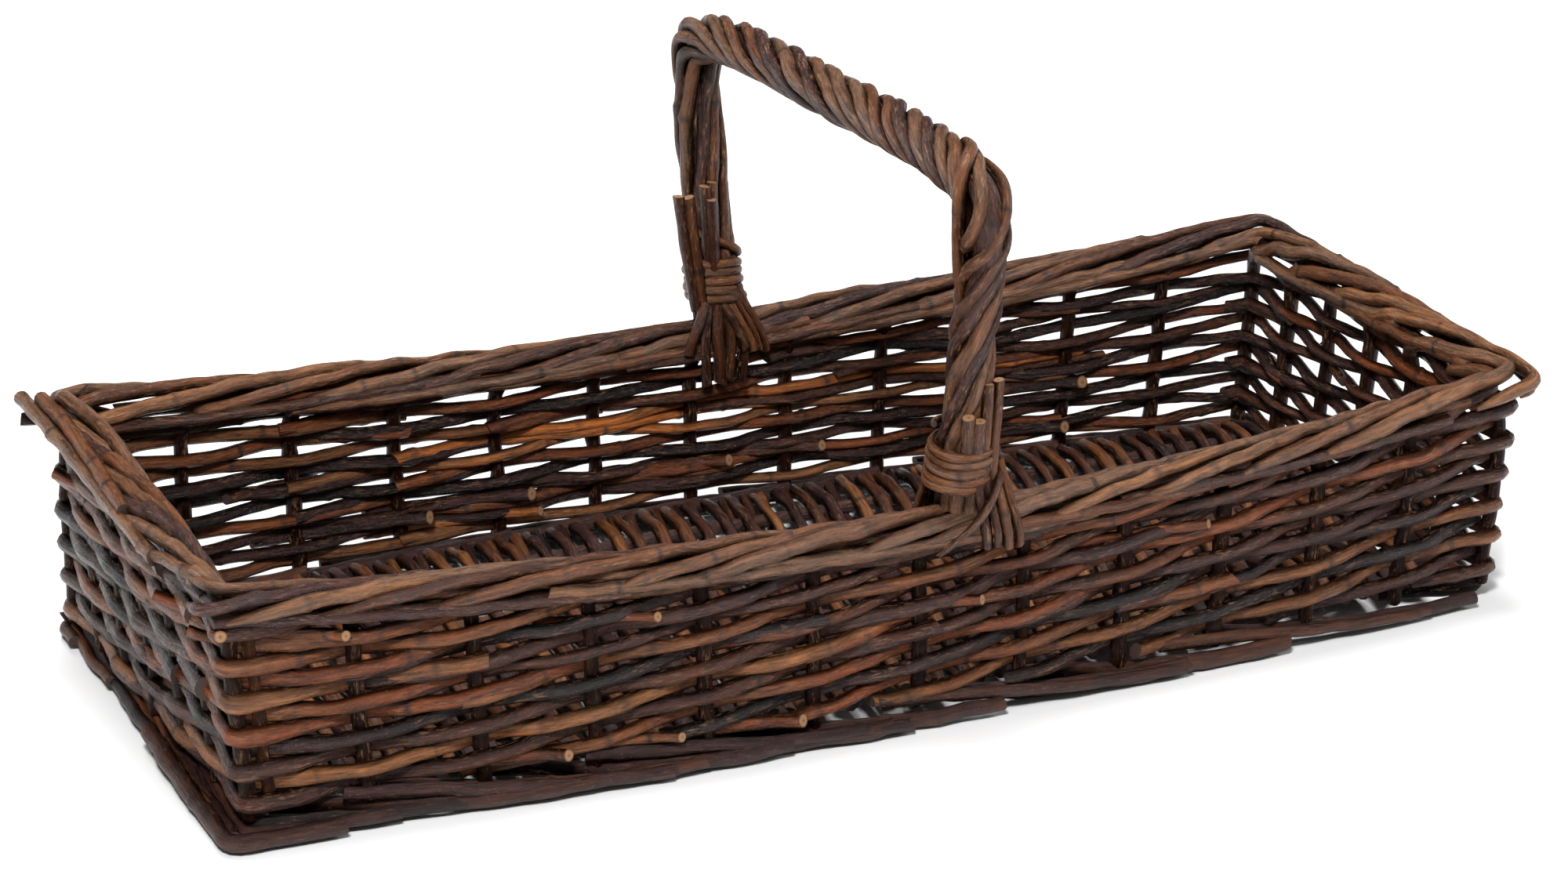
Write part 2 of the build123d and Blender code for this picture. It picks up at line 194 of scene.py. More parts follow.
# Rings of a cut face, from the bark inwards: share of the radius, and height over the end
CUT_RINGS = [(1.0, 0.0), (0.86, 0.10), (0.3, 0.14)]
PITH_HEIGHT = 0.05


class Bundle:
    """Rods of one kind of willow, gathered into one mesh. A function given with them tells how open to the
    light each face of a rod is, from its points and the directions away from them; where it isn't, painted
    shade darkens the bark's colour."""

    def __init__(self, name, kind, seed, open_share=None):
        self.name = name
        self.kind = kind
        self.rng = np.random.default_rng(seed)
        self.open_share = open_share
        self.verts = []
        self.layers = {"bark_at": [], "tone": [], "knot": [], "cap": [], "open": []}
        self.faces = {4: [], 3: []}
        self.face_material = {4: [], 3: []}
        self.count = 0

    def add_verts(self, verts, bark_at, **values):
        """Adds vertices with their attributes, and gives the first one's index."""
        self.verts.append(verts)
        self.layers["bark_at"].append(bark_at)
        for name, value in values.items():
            self.layers[name].append(np.broadcast_to(value, len(verts)))
        first = self.count
        self.count += len(verts)
        return first

    def add_faces(self, faces, material):
        corners = faces.shape[1]
        self.faces[corners].append(faces)
        self.face_material[corners].append(np.full(len(faces), material))

    def add_knots(self, grid, s, theta, diameter, gap):
        """Swells a rod's rings where it has knots and buds, and gives how near each one is."""
        rng = self.rng
        knot = np.zeros(len(s))
        at = rng.uniform(6, gap[1])
        turn = rng.random() * 6.28
        while at < s[-1] - 5:
            size = rng.uniform(0.35, 1.0)
            near = bell(s, at, 1.7)
            bulge = bell(s, at - 1.0, 4.5)
            bud = np.clip(np.cos(theta - turn), 0, 1) ** 3
            grid *= 1 + 0.05 * size * bulge[:, None] + 0.05 * size * near[:, None]
            grid += (diameter * 0.11 * size * near)[:, None] * bud[None, :]
            knot += size * bell(s, at, 1.5)
            at += rng.uniform(*gap)
            turn += BUD_TURN + rng.normal(0, 0.3)
        return np.clip(knot, 0, 1)

    def slant_ends(self, body, grid, ring, tangent, theta, slant, face):
        """Turns both cut ends, and keeps the ring next to each behind its cut."""
        rng = self.rng
        n = len(body)
        for end, i, inwards in ((0, 0, 1), (1, n - 1, -1)):
            tilt = rng.uniform(*SLANTS) if slant[end] is None else slant[end]
            lean = tilt * np.cos(theta - rng.random() * 6.28) * grid[i]
            if end and face is not None:
                lean = -0.5 * ring[i].dot(np.array(face) - tangent[i] * tangent[i].dot(face))
            lean = lean - abs(tilt) * grid[i].mean() * 0.3
            body[i] += -inwards * lean[:, None] * tangent[i]
            body[i + inwards] = 0.5 * (body[i + inwards] + body[i + 2 * inwards])

    def rod(self, path, diameter, tip, tone, sides=10, step=2.5, wobble=0.22, rough=0.04,
            knot_gap=(20, 55), slant=(None, None), fresh=(0.0, 0.0), face=None, taper_last=0.0,
            swell=1.0):
        """A rod along a path. tip is the end's share of the thickness, tone a colour or colours
        along the rod, slant turns the cut faces, face is the way that the last one is turned,
        fresh makes them pale, taper_last thins the last stretch, in mm, to a point, and swell is
        a thickness factor along the path."""
        rng = self.rng
        p = resample(path, step)
        n = len(p)
        s = arc_length(p)
        length = s[-1]
        share = s / length
        key = int(rng.integers(1 << 30))
        fade = ease(np.minimum(s, length - s) / 10)
        for axis in range(3):
            p[:, axis] += wobble * fade * ripple(key + axis, s, PATH_WAVE)
        tangent, across, up = path_frame(p)
        theta = np.linspace(0, 2 * np.pi, sides, endpoint=False)
        c, d = np.cos(theta), np.sin(theta)
        away = c[None, :, None] * across[:, None, :] + d[None, :, None] * up[:, None, :]
        radius = diameter / 2 * (1 + (tip - 1) * share) * (1 + rough * ripple(key + 5, s, ROUGH_WAVE))
        radius = radius * np.interp(share, np.linspace(0, 1, np.size(swell)), np.atleast_1d(swell))
        shape = (1 + 0.035 * np.cos(2 * theta + rng.random() * 6)
                 + 0.02 * np.cos(3 * theta + rng.random() * 6))
        grid = radius[:, None] * shape[None, :]
        if taper_last:
            grid *= (0.35 + 0.65 * ease((length - s) / taper_last) ** 0.5)[:, None]
        knot = self.add_knots(grid, s, theta, diameter, knot_gap)
        ring = grid[:, :, None] * away
        body = p[:, None, :] + ring
        shift = rng.uniform(-PATTERN_REACH, PATTERN_REACH, 3)
        self.slant_ends(body, grid, ring, tangent, theta, slant, face)
        around = radius.mean()
        bark_at = np.stack(np.broadcast_arrays(s[:, None], around * c, around * d), axis=2) + shift
        tones = np.interp(share, np.linspace(0, 1, np.size(tone)), np.atleast_1d(tone))
        # Painted shade: 1 where a face is open to the light, lower where it is shaded
        open_share = self.open_share(p, away) if self.open_share else np.ones((n, sides))
        first = self.add_verts(body.reshape(-1, 3), bark_at.reshape(-1, 3), tone=np.repeat(tones, sides),
                               knot=np.repeat(knot, sides), cap=1.0, open=open_share.reshape(-1))
        i = first + np.arange(n - 1)[:, None] * sides
        j = np.arange(sides)[None, :]
        k = (j + 1) % sides
        self.add_faces(np.stack([i + j, i + k, i + sides + k, i + sides + j], axis=2).reshape(-1, 4), BARK)
        for end, row in ((0, 0), (1, n - 1)):
            normal = tangent[row] * (1 if end else -1)
            self.cut_face(body[row], normal, float(np.mean(tone)), end, fresh[end])

    def cut_face(self, edge, normal, tone, end, fresh):
        """A slightly domed end face. There the knot attribute tells how fresh the cut is."""
        sides = len(edge)
        middle = edge.mean(axis=0)
        verts = [middle + (edge - middle) * share + normal * height for share, height in CUT_RINGS]
        verts = np.concatenate(verts + [(middle + normal * PITH_HEIGHT)[None, :]])
        cap = np.concatenate([np.repeat([share for share, _ in CUT_RINGS], sides), [0.0]])
        shift = self.rng.uniform(-PATTERN_REACH, PATTERN_REACH, 3)
        first = self.add_verts(verts, verts + shift, tone=tone, knot=fresh, cap=cap, open=1.0)
        turn = 1 if end else -1
        j = np.arange(sides)
        k = (j + 1) % sides
        for a in (first, first + sides):
            b = a + sides
            self.add_faces(np.stack([a + j, a + k, b + k, b + j], axis=1)[:, ::turn], CUT)
        inner = first + 2 * sides
        pith = np.full(sides, first + 3 * sides)
        self.add_faces(np.stack([inner + j, inner + k, pith], axis=1)[:, ::turn], CUT)

    def build(self, *nodes):
        """Makes the mesh, which stands in for the named CAD nodes."""
        verts = np.concatenate(self.verts) * MM
        faces = np.concatenate(self.faces[4]).tolist() + np.concatenate(self.faces[3]).tolist()
        mesh = bpy.data.meshes.new(self.name)
        mesh.from_pydata(verts.tolist(), [], faces, shade_flat=False)
        materials = np.concatenate(self.face_material[4] + self.face_material[3]).astype(np.int32)
        mesh.polygons.foreach_set("material_index", materials)
        for name, values in self.layers.items():
            values = np.concatenate(values).astype(np.float32)
            vector = values.ndim == 2
            layer = mesh.attributes.new(name, "FLOAT_VECTOR" if vector else "FLOAT", "POINT")
            layer.data.foreach_set("vector" if vector else "value", values.ravel())
        mesh.materials.append(MATERIALS[self.kind])
        mesh.materials.append(MATERIALS["cut"])
        mesh.validate()
        piece = add_object(self.name, mesh)
        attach(piece, "root")
        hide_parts(*nodes)


# Materials

class Graph:
    """A material's nodes. Each call adds one node and gives its output."""

    def __init__(self, name):
        self.material = bpy.data.materials.new(name)
        self.material.use_nodes = True
        self.tree = self.material.node_tree
        self.shader = self.tree.nodes["Principled BSDF"].inputs

    def put(self, socket, value):
        """Links an output to an input, or sets the input's value."""
        if isinstance(value, bpy.types.NodeSocket):
            self.tree.links.new(value, socket)
        else:
            socket.default_value = (*value, 1) if socket.type == "RGBA" else value

    def node(self, kind, output, inputs, **settings):
        made = self.tree.nodes.new(kind)
        made.location = (-200 * len(self.tree.nodes), 0)
        for key, value in settings.items():
            setattr(made, key, value)
        for key, value in inputs.items():
            self.put(made.inputs[key], value)
        return made.outputs[output]

    def attribute(self, name, output="Fac"):
        return self.node("ShaderNodeAttribute", output, {}, attribute_name=name)

    def noise(self, at, scale, detail=4.0, rough=0.6):
        """Noise with its own scale along and across the rod."""
        scaled = self.node("ShaderNodeMapping", "Vector", {"Vector": at, "Scale": scale})
        return self.node("ShaderNodeTexNoise", "Fac", {"Vector": scaled, "Scale": 1.0, "Detail": detail,
                                                       "Roughness": rough})

    def spread(self, value, low, high, to_low=0.0, to_high=1.0):
        inputs = dict(enumerate((value, low, high, to_low, to_high)))
        return self.node("ShaderNodeMapRange", "Result", inputs)

    def maths(self, operation, *values):
        return self.node("ShaderNodeMath", 0, dict(enumerate(values)), operation=operation)

    def scaled(self, colour, factor):
        return self.node("ShaderNodeVectorMath", "Vector", {0: colour, "Scale": factor}, operation="SCALE")

    def mix(self, factor, a, b):
        return self.node("ShaderNodeMix", 2, {0: factor, 6: a, 7: b}, data_type="RGBA")

    def ramp(self, value, stops):
        output = self.node("ShaderNodeValToRGB", "Color", {"Fac": value})
        elements = output.node.color_ramp.elements
        while len(elements) < len(stops):
            elements.new(0.5)
        for element, (place, colour) in zip(elements, stops):
            element.position = place
            element.color = (*colour, 1)
        return output

    def bump(self, height, strength, distance):
        normal = self.node("ShaderNodeBump", "Normal", {"Height": height, "Strength": strength,
                                                        "Distance": distance})
        self.put(self.shader["Normal"], normal)


TONE_DRIFT = 0.70
SPOT_COLOUR = (0.16, 0.085, 0.045)
KNOT_COLOUR = (0.018, 0.010, 0.008)
OLD_CUT_COLOUR = (0.035, 0.018, 0.012)


def bark(name, stops, scuff, scuff_share, gloss=(0.20, 0.38), shine=0.42):
    """Unpeeled willow bark: the rod's own colour, lengthwise grain, dark knots and worn streaks, darkened by
    painted shade where faces are closed to the light.
    """
    g = Graph(name)
    at = g.attribute("bark_at", "Vector")
    open_share = g.attribute("open")
    drift = g.noise(at, (0.012, 0.12, 0.12), 3.0)
    grain = g.noise(at, (0.06, 0.50, 0.50), 6.0, 0.75)
    fine = g.noise(at, (0.20, 1.0, 1.0), 4.0, 0.7)
    patch = g.noise(at, (0.035, 0.28, 0.28))
    # The rod's tone drifts along it; grain darkens it, and painted shade darkens it in crevices and on faces
    # turned from the light
    tone = g.maths("MULTIPLY_ADD", drift, TONE_DRIFT, g.attribute("tone"))
    colour = g.ramp(g.maths("SUBTRACT", tone, TONE_DRIFT / 2), stops)
    colour = g.scaled(colour, g.spread(open_share, 0.32, 0.86, 0.12, 1.08))
    colour = g.scaled(colour, g.spread(grain, 0.35, 0.65, 0.30, 1.65))
    # Worn streaks in patches
    worn = g.maths("MULTIPLY", g.spread(fine, 0.53, 0.66), g.spread(patch, 0.44, 0.62))
    colour = g.mix(g.maths("MULTIPLY", worn, scuff_share), colour, scuff)
    # Pale spots, and dark knots
    spots = g.node("ShaderNodeTexVoronoi", "Distance", {"Vector": at, "Scale": 0.42})
    colour = g.mix(g.spread(spots, 0.10, 0.17, 0.5, 0.0), colour, SPOT_COLOUR)
    colour = g.mix(g.spread(g.attribute("knot"), 0.15, 0.8, 0.0, 0.85), colour, KNOT_COLOUR)
    g.put(g.shader["Base Color"], colour)
    g.put(g.shader["Roughness"], g.spread(fine, 0.35, 0.7, *gloss))
    # Specular is lowered with the painted shade, too
    g.put(g.shader["Specular IOR Level"], g.spread(open_share, 0.35, 0.85, 0.03, shine))
    g.bump(g.maths("MULTIPLY_ADD", grain, 1.6, fine), 0.9, 0.0010)
    return g.material


def cut_wood():
    """Freshly cut ends: pale orange wood, a darker ring of bark and a small brown pith."""
    g = Graph("Cut_Wood")
    grain = g.noise(g.attribute("bark_at", "Vector"), (2.0, 2.0, 2.0))
    colour = g.ramp(g.attribute("cap"), [(0.0, (0.10, 0.04, 0.018)), (0.20, (0.27, 0.13, 0.055)),
                                         (0.55, (0.38, 0.21, 0.095)), (0.84, (0.27, 0.12, 0.05)),
                                         (0.93, (0.06, 0.028, 0.018))])
    colour = g.scaled(colour, g.spread(grain, 0.3, 0.7, 0.55, 1.15))
    g.put(g.shader["Base Color"], g.mix(g.attribute("knot"), OLD_CUT_COLOUR, colour))
    g.put(g.shader["Roughness"], 0.75)
    g.bump(grain, 0.5, 0.0003)
    return g.material


BLACK = (0.007, 0.004, 0.004)
PLUM = (0.034, 0.011, 0.009)
DARK = (0.052, 0.016, 0.007)
RUSSET = (0.155, 0.036, 0.008)
BROWN = (0.130, 0.043, 0.013)
TAN = (0.190, 0.075, 0.026)
ORANGE = (0.37, 0.105, 0.018)
GREY = (0.118, 0.060, 0.034)

MATERIALS = {
    "cut": cut_wood(),
    "wall": bark("Wall_Bark", [(0.0, BLACK), (0.16, PLUM), (0.34, DARK), (0.50, RUSSET), (0.66, BROWN),
                               (0.84, TAN), (1.0, ORANGE)], (0.34, 0.17, 0.08), 0.65),
    "border": bark("Border_Bark", [(0.0, PLUM), (0.22, DARK), (0.46, BROWN), (0.66, GREY), (0.86, TAN),
                                   (1.0, GREY)], (0.36, 0.19, 0.10), 0.7, shine=0.46),
    "base": bark("Base_Bark", [(0.0, BLACK), (0.25, PLUM), (0.5, DARK), (0.75, BROWN), (1.0, TAN)],
                 (0.28, 0.15, 0.08), 0.5, (0.26, 0.46)),
    "foot": bark("Foot_Bark", [(0.0, BLACK), (0.32, PLUM), (0.60, DARK), (1.0, BROWN)],
                 (0.20, 0.115, 0.075), 0.6, (0.30, 0.52)),
    "handle": bark("Handle_Bark", [(0.0, PLUM), (0.30, DARK), (0.58, BROWN), (0.80, GREY), (0.94, TAN),
                                   (1.0, ORANGE)], (0.42, 0.22, 0.11), 0.75),
}


# The wall's loop, clockwise from above: front, left, back, right. A place on it is counted in
# bays from the right end of the front wall, and every whole number is an upright.

Wall = namedtuple("Wall", "name start bays along out half half_along bow dip")
WALLS = [
    Wall("front", 0, LONG_BAYS, (-1, 0), (0, -1), MID_WIDTH, MID_LENGTH, SIDE_BOW, RIM_DIP),
    Wall("left", LONG_BAYS, SHORT_BAYS, (0, 1), (-1, 0), MID_LENGTH, MID_WIDTH, 0.0, 0.0),
    Wall("back", LOOP // 2, LONG_BAYS, (1, 0), (0, 1), MID_WIDTH, MID_LENGTH, SIDE_BOW, RIM_DIP),
    Wall("right", LOOP - SHORT_BAYS, SHORT_BAYS, (0, -1), (1, 0), MID_LENGTH, MID_WIDTH, 0.0, 0.0),
]
FRONT, LEFT, BACK, RIGHT = range(len(WALLS))
# Every wall starts at a corner
CORNERS = [wall.start for wall in WALLS]

# The rim isn't level, and the left wall stands further out at its far end
RIM_LIFT = [(0, 2.5), (3, 1.0), (6, 0.0), (9, 0.5), (12, 2.5), (15, 4.0), (18, 7.0), (19, 5.0), (20, 3.6),
            (21, 1.8), (22, 0.3), (24, 0.3), (25, 2.8), (27, 2.8), (29, 4.0), (30, 5.0), (33, 5.0), (36, 2.5)]
LEFT_WALL_OUT = 4.0


def wall_index(place):
    return np.searchsorted(CORNERS, np.mod(place, LOOP), side="right") - 1


def along_wall(wall, place):
    """How far places on a wall are past its middle, on the way round the loop."""
    return ((place - wall.start) / wall.bays * 2 - 1) * wall.half_along


def wall_bundles(ending, kind, seed, open_share):
    return [Bundle(f"{wall.name.title()}_{ending}", kind, seed + w, open_share)
            for w, wall in enumerate(WALLS)]


def bay_length(place):
    return LONG_BAY if WALLS[int(wall_index(place))].bays == LONG_BAYS else SHORT_BAY


def bow_share(x):
    """How far along its bow a long wall is: 1 at its middle and 0 at its ends."""
    return np.clip(1 - (x / MID_LENGTH) ** 2, 0, None)


def loop_points(place, out, height):
    """Points for places round the loop, distances out from the wall and heights."""
    place = np.mod(np.asarray(place, float), LOOP)
    out = np.broadcast_to(np.asarray(out, float), place.shape)
    height = np.broadcast_to(np.asarray(height, float), place.shape)
    made = np.zeros((len(place), 3))
    which = wall_index(place)
    for w, wall in enumerate(WALLS):
        m = which == w
        if not m.any():
            continue
        along = along_wall(wall, place[m])
        along = along * (wall.half_along + out[m]) / wall.half_along
        middle = bow_share(along) if wall.bow else 0.0 * along
        rise = np.clip((height[m] - FOOT_TOP) / (CORNER_HEIGHT - FOOT_TOP), 0, None)
        lift = np.interp(place[m], *zip(*RIM_LIFT)) * rise**1.5
        lean = END_LEAN * np.clip(1 - height[m] / BORDER_TOP, 0, 1)
        side = wall.half + wall.bow * middle + out[m]
        if wall.bow:
            to_left = np.clip(-along * wall.along[0] / MID_LENGTH, 0, 1) ** 3 * (w == BACK)
            along = along * (1 - (lean * (1 - to_left) - LEFT_WALL_OUT * to_left) / MID_LENGTH)
        else:
            far = np.clip(0.5 + along * wall.along[1] / (2 * MID_WIDTH), 0, 1) * (w == LEFT)
            side = side - lean * (1 - far) + LEFT_WALL_OUT * far
        made[m, 0] = wall.along[0] * along + wall.out[0] * side
        made[m, 1] = wall.along[1] * along + wall.out[1] * side
        made[m, 2] = height[m] - wall.dip * middle * rise + lift
    return made


def loop_point(place, out, height):
    return loop_points([place], out, height)[0]


def loop_path(controls, rounds=3):
    """A path through (place, out, height) controls, turning crisply at the corners."""
    controls = np.asarray(controls, float)
    sense = 1 if controls[-1, 0] > controls[0, 0] else -1
    t = controls[:, 0] * sense
    s = np.linspace(t[0], t[-1], max(8, int((t[-1] - t[0]) * ROUGH_BAY / PATH_STEP)))
    out, height = hermite(t, controls[:, 1:], s).T
    return soften(loop_points(s * sense, out, height), rounds)


# Painted shade: how open the faces of rods are to the light; the bark is darkened where they are not

def wall_painted_shade(points, away):
    """A weaver's faces are open towards both sides of its wall; painted shade darkens them above and below,
    where rods touch.
    """
    return np.sqrt(np.clip(1 - away[:, :, 2] ** 2, 0, 1))


# A base rod's faces are open on top and below, and painted shade darkens its sides
def base_painted_shade(points, away):
    return np.abs(away[:, :, 2])


def painted_shade_from(points, away, middle, reach=0.5):
    """Faces are open away from a middle: 1 where they face away, and 1 - reach at right angles; the rest is
    painted shade.
    """
    way = points - middle
    way /= np.maximum(np.linalg.norm(way, axis=1), 1.0)[:, None]
    return 1 - reach + reach * np.einsum("ijk,ik->ij", away, way)


def roll_middle(points, half_length, out, side_height, end_height):
    """The middle, level with each point, of a roll of rods that runs round the basket."""
    x, y = points[:, 0], points[:, 1]
    half_width = MID_WIDTH + SIDE_BOW * bow_share(x)
    side = np.stack([x, np.sign(y) * (half_width + out), side_height + 0 * x], axis=1)
    end = np.stack([np.sign(x) * (half_length + out), y, end_height + 0 * y], axis=1)
    at_end = np.abs(x) - half_length > np.abs(y) - half_width
    return np.where(at_end[:, None], end, side)


def border_painted_shade(points, away):
    """A border rod's faces are open away from the middle of the roll, with painted shade towards it; a
    stake's upright part gets a flat painted shade.
    """
    rim = BORDER_TOP - RIM_DIP * bow_share(points[:, 0])
    middle = roll_middle(points, MID_LENGTH, 1.5, rim - 5.0, BORDER_TOP - 3.0)
    stake = points[:, 2] < rim - 11.0
    return np.where(stake[:, None], 0.42, painted_shade_from(points, away, middle))


# A foot rod's faces are open away from the middle of the foot's roll, with painted shade towards it
def foot_painted_shade(points, away):
    return painted_shade_from(points, away, roll_middle(points, LOW_LENGTH, 0.0, 1.0, 1.0))


# Border. The turned-down stake: its bend in mm along, out and down, then its places along the
# border in bays, out and down.

STAKE_BEND = [(0, -0.4, -28), (0, -1.2, -19), (1.2, -3.2, -13), (5, -5, -9.8),
              (12, -5.6, -8.4)]
BORDER_ROLL = [(0.5, -5.6, -6.4), (1, -4.2, -3), (1.5, -1.6, -0.6), (2, 1.2, 0.5), (2.5, 4, 0.2),
               (3, 6.8, -1.2), (3.5, 8.9, -4.2), (4.05, 8.4, -9.4)]
BORDER_BAYS = BORDER_ROLL[-1][0]
BORDER_STEP = 2.2
CORNER_OUT = 0.8
BORDER_TONES = [0.08, 0.24, 0.42, 0.56, 0.70, 0.86]
BORDER_TONE_SHARES = [0.10, 0.18, 0.24, 0.22, 0.16, 0.10]
# The upright stretch of a stake, behind the weave, gets a darker tone as painted shade, and its end on the
# border is cut thin
PAINTED_SHADE_STRETCH = 88.0
THIN_STRETCH = 22.0
# A second stake beside the post at the near left corner
TWIN_STAKE = [(LONG_BAYS - 0.17, 0, height) for height in (9, 40, 70, 93)]


def border_rod(bundle, index):
    """One stake: up through the weave, turned down at the rim, then four bays along the border."""
    rng = bundle.rng
    bay = bay_length(index + 0.01)
    thick = rng.uniform(6.5, 7.6) if bay == SHORT_BAY else rng.uniform(6.1, 7.1)
    top = BORDER_TOP + rng.uniform(-0.5, 0.5)
    upright = [loop_point(index, 0.0, height) for height in (STAKE_SEAT, 40.0, 68.0)]
    bend = [loop_point(index + along / bay, out, top + down) for along, out, down in STAKE_BEND]
    along, out, down = STAKE_BEND[-1]
    run = [(index + along / bay, out, top + down)]
    bays = rng.uniform(3.6, 4.3)
    shift = rng.normal(0, 0.25)
    for step, out, down in BORDER_ROLL:
        corner = CORNER_OUT if round(index + step) % LOOP in CORNERS else 0.0
        run.append((index + step * bays / BORDER_BAYS, out + shift + rng.normal(0, 0.22) + corner,
                    top + down + rng.normal(0, 0.22)))
    lying = loop_path(run, rounds=5)
    rise = smooth_through(upright + bend + [lying[1]], 1.5)
    path = soften(resample(np.concatenate([rise, lying[2:]]), BORDER_STEP), 3)
    tone = rng.choice(BORDER_TONES, p=BORDER_TONE_SHARES) + rng.normal(0, 0.04)
    # The upright stretch is given a darker tone: painted shade
    painted_shade_tone = min(tone, 0.10) + rng.uniform(0, 0.12)
    share = PAINTED_SHADE_STRETCH / (len(path) * BORDER_STEP)
    tones = [painted_shade_tone if k / 20 < share else tone for k in range(21)]
    bundle.rod(path, thick, rng.uniform(0.74, 0.90), tones, sides=12, step=BORDER_STEP, wobble=0.32,
               taper_last=THIN_STRETCH)


# Rods laid in low inside, on top and outside: places in bays, out and down
INSIDE = [(0, -5.8, -12), (1, -7.4, -11), (2.2, -7.2, -8.8), (3.6, -5, -5.6)]
ON_TOP = [(0, 1.5, -7.5), (1, 2.6, -6), (2.2, 3.2, -5.4), (3.4, 2, -6.6)]
OUTSIDE = [(0, 4.5, -11.6), (1, 6.6, -11.4), (2.2, 7.6, -10.2), (3.4, 6.8, -8.6)]
LAID_BAYS = 3.4
LAID_STEP = 1.7


def laid_low(bundle, start, line):
    """A long rod laid in low along one side of the border."""
    rng = bundle.rng
    shift = rng.normal(0, 0.3)
    path = loop_path([(start + step, out + shift, BORDER_TOP + down + shift) for step, out, down in line])
    bundle.rod(path, rng.uniform(5.4, 6.4), 0.85, rng.uniform(0.1, 0.75), step=2.6, wobble=0.3)


# Rods that end on the left border or stand out at its far corner: thickness, tone, then
# (place, out, height) from the rod's end
RIM_ENDS = [
    (6.8, 0.6, [(17.85, 1, 98), (17.80, 1.5, 103), (17.4, -1.5, 104.6), (16.6, -5, 103.4),
                (15.6, -6.4, 99.6), (14.9, -5.4, 93.5)]),
    (6.6, 0.5, [(15.85, 3, 98), (15.80, 2.6, 103.5), (15.4, -0.5, 104.4), (14.6, -4.6, 102.2),
                (13.7, -6, 98.4), (13.1, -5, 92)]),
    (7.2, 0.05, [(14.38, 2.4, 103.4), (13.9, 0.4, 103.6), (13.3, -2.4, 102), (12.8, -4, 97.6),
                 (12.4, -4, 92)]),
    (6.8, 0.7, [(12.62, 4.6, 98), (12.60, 4, 102.6), (12.4, 2.5, 103), (12.25, 0, 100),
                (12.15, -1, 94)]),
    (6.6, 0.75, [(17.96, 13.8, 100), (17.4, 13, 100.6), (16.4, 12, 100), (15, 10.8, 98),
                 (13.6, 10.4, 96.4)]),
    (6.6, 0.45, [(17.72, 8.6, 103.6), (17, 7.6, 104.2), (16, 8.2, 103.6), (14.6, 9.4, 101)]),
]
FAR_CORNER_STICK = [(-286, 108, 99), (-296, 108.5, 99.6), (-305.5, 109.5, 99.8)]
FAR_CORNER_STUB = [(-280.5, 104, 92), (-280.3, 107, 100), (-279.6, 110.5, 109.5)]


def rim_ends(bundle):
    for thick, tone, controls in RIM_ENDS:
        path = smooth_through([loop_point(*control) for control in controls])
        bundle.rod(path, thick, 0.9, tone, sides=12, step=2.4, wobble=0.2, slant=(0.15, None))
    bundle.rod(FAR_CORNER_STICK, 6.0, 0.95, 0.02, sides=12, step=2.4, wobble=0.1)
    bundle.rod(FAR_CORNER_STUB, 7.0, 1.0, 0.6, sides=12, step=2.4, wobble=0.1)


def make_border():
    """A bundle for each wall's border, and one for the stakes at the start of the end walls."""
    borders = wall_bundles("Stakes_And_Border", "border", 11, border_painted_shade)
    corner = Bundle("Corner_Stakes", "border", 19, border_painted_shade)
    for index in range(LOOP):
        at_end_wall = index in (WALLS[LEFT].start, WALLS[RIGHT].start)
        border_rod(corner if at_end_wall else borders[int(wall_index(index))], index)
    for wall, border in zip(WALLS, borders):
        last = wall.start + wall.bays - LAID_BAYS
        for place in np.arange(wall.start + 0.2, last + 0.8, LAID_STEP):
            laid_low(border, min(place, last), INSIDE)
            laid_low(border, min(place + 0.3, last), ON_TOP)
            if wall.name == "front":
                laid_low(border, min(place + 0.6, last), OUTSIDE)
    rim_ends(borders[LEFT])
    twin = smooth_through([loop_point(*control) for control in TWIN_STAKE])
    corner.rod(twin, 5.6, 0.95, 0.45)
    return borders, corner


# Weave

MAIN_ROWS = 12
LOW_ROW = 14.6
HIGH_ROW = 92.8
# Short rows packed in on the inside of the back: after which row, their middle and half length
PACKING_ROWS = {"back": [(1, 20, 170), (5, 60, 150), (8, 160, 120)]}
PACKING_SHARE = 0.85
# By wall: how thick its rods are, and how far they swing out and in
ROD_THICK = [(6.2, 7.2), (6.2, 7.2), (5.3, 6.4), (5.5, 6.5)]
WALL_CREST = [3.5, 1.9, 3.0, 3.2]
CREST_TABLE = (np.repeat(CORNERS + [LOOP], 2)[1:-1] + np.tile([0.5, -0.5], 4), np.repeat(WALL_CREST, 2))
LEFT_WALL_SWELL = 1.32
WALL_TONES = [0.06, 0.18, 0.30, 0.42, 0.54, 0.64, 0.76, 0.90]
WALL_TONE_SHARES = [0.11, 0.15, 0.17, 0.15, 0.14, 0.12, 0.09, 0.07]


def row_levels(w):
    """Places along a wall, and there the heights of its main rows and packing rows."""
    wall = WALLS[w]
    along = np.linspace(-wall.half_along, wall.half_along, 121)
    rows = {("main", k): np.ones_like(along) for k in range(MAIN_ROWS)}
    order = list(rows)
    for k, (after, centre, reach) in enumerate(PACKING_ROWS.get(wall.name, [])):
        order.insert(order.index(("main", after)) + 1, ("pack", k))
        rows["pack", k] = PACKING_SHARE * ease((reach - np.abs(along - centre)) / 110)
    weights = np.array([rows[row] for row in order])
    middles = np.cumsum(weights, axis=0) - weights / 2
    share = (middles - 0.5) / (weights.sum(axis=0) - 1.0)
    window = np.clip(1 - (along / wall.half_along) ** 2, 0, 1)
    levels = {}
    for row, part in zip(order, share):
        sag = ripple(400 + 10 * w, along, 260) * 1.2
        sag = sag + ripple(500 + 31 * w + row[1] * 7, along, 150) * 0.7
        edge = np.clip(np.minimum(part, 1 - part) * 4, 0.25, 1)
        levels[row] = LOW_ROW + (HIGH_ROW - LOW_ROW) * part + sag * window * edge
    return along, levels


LEVEL_TABLE = [row_levels(w) for w in range(len(WALLS))]


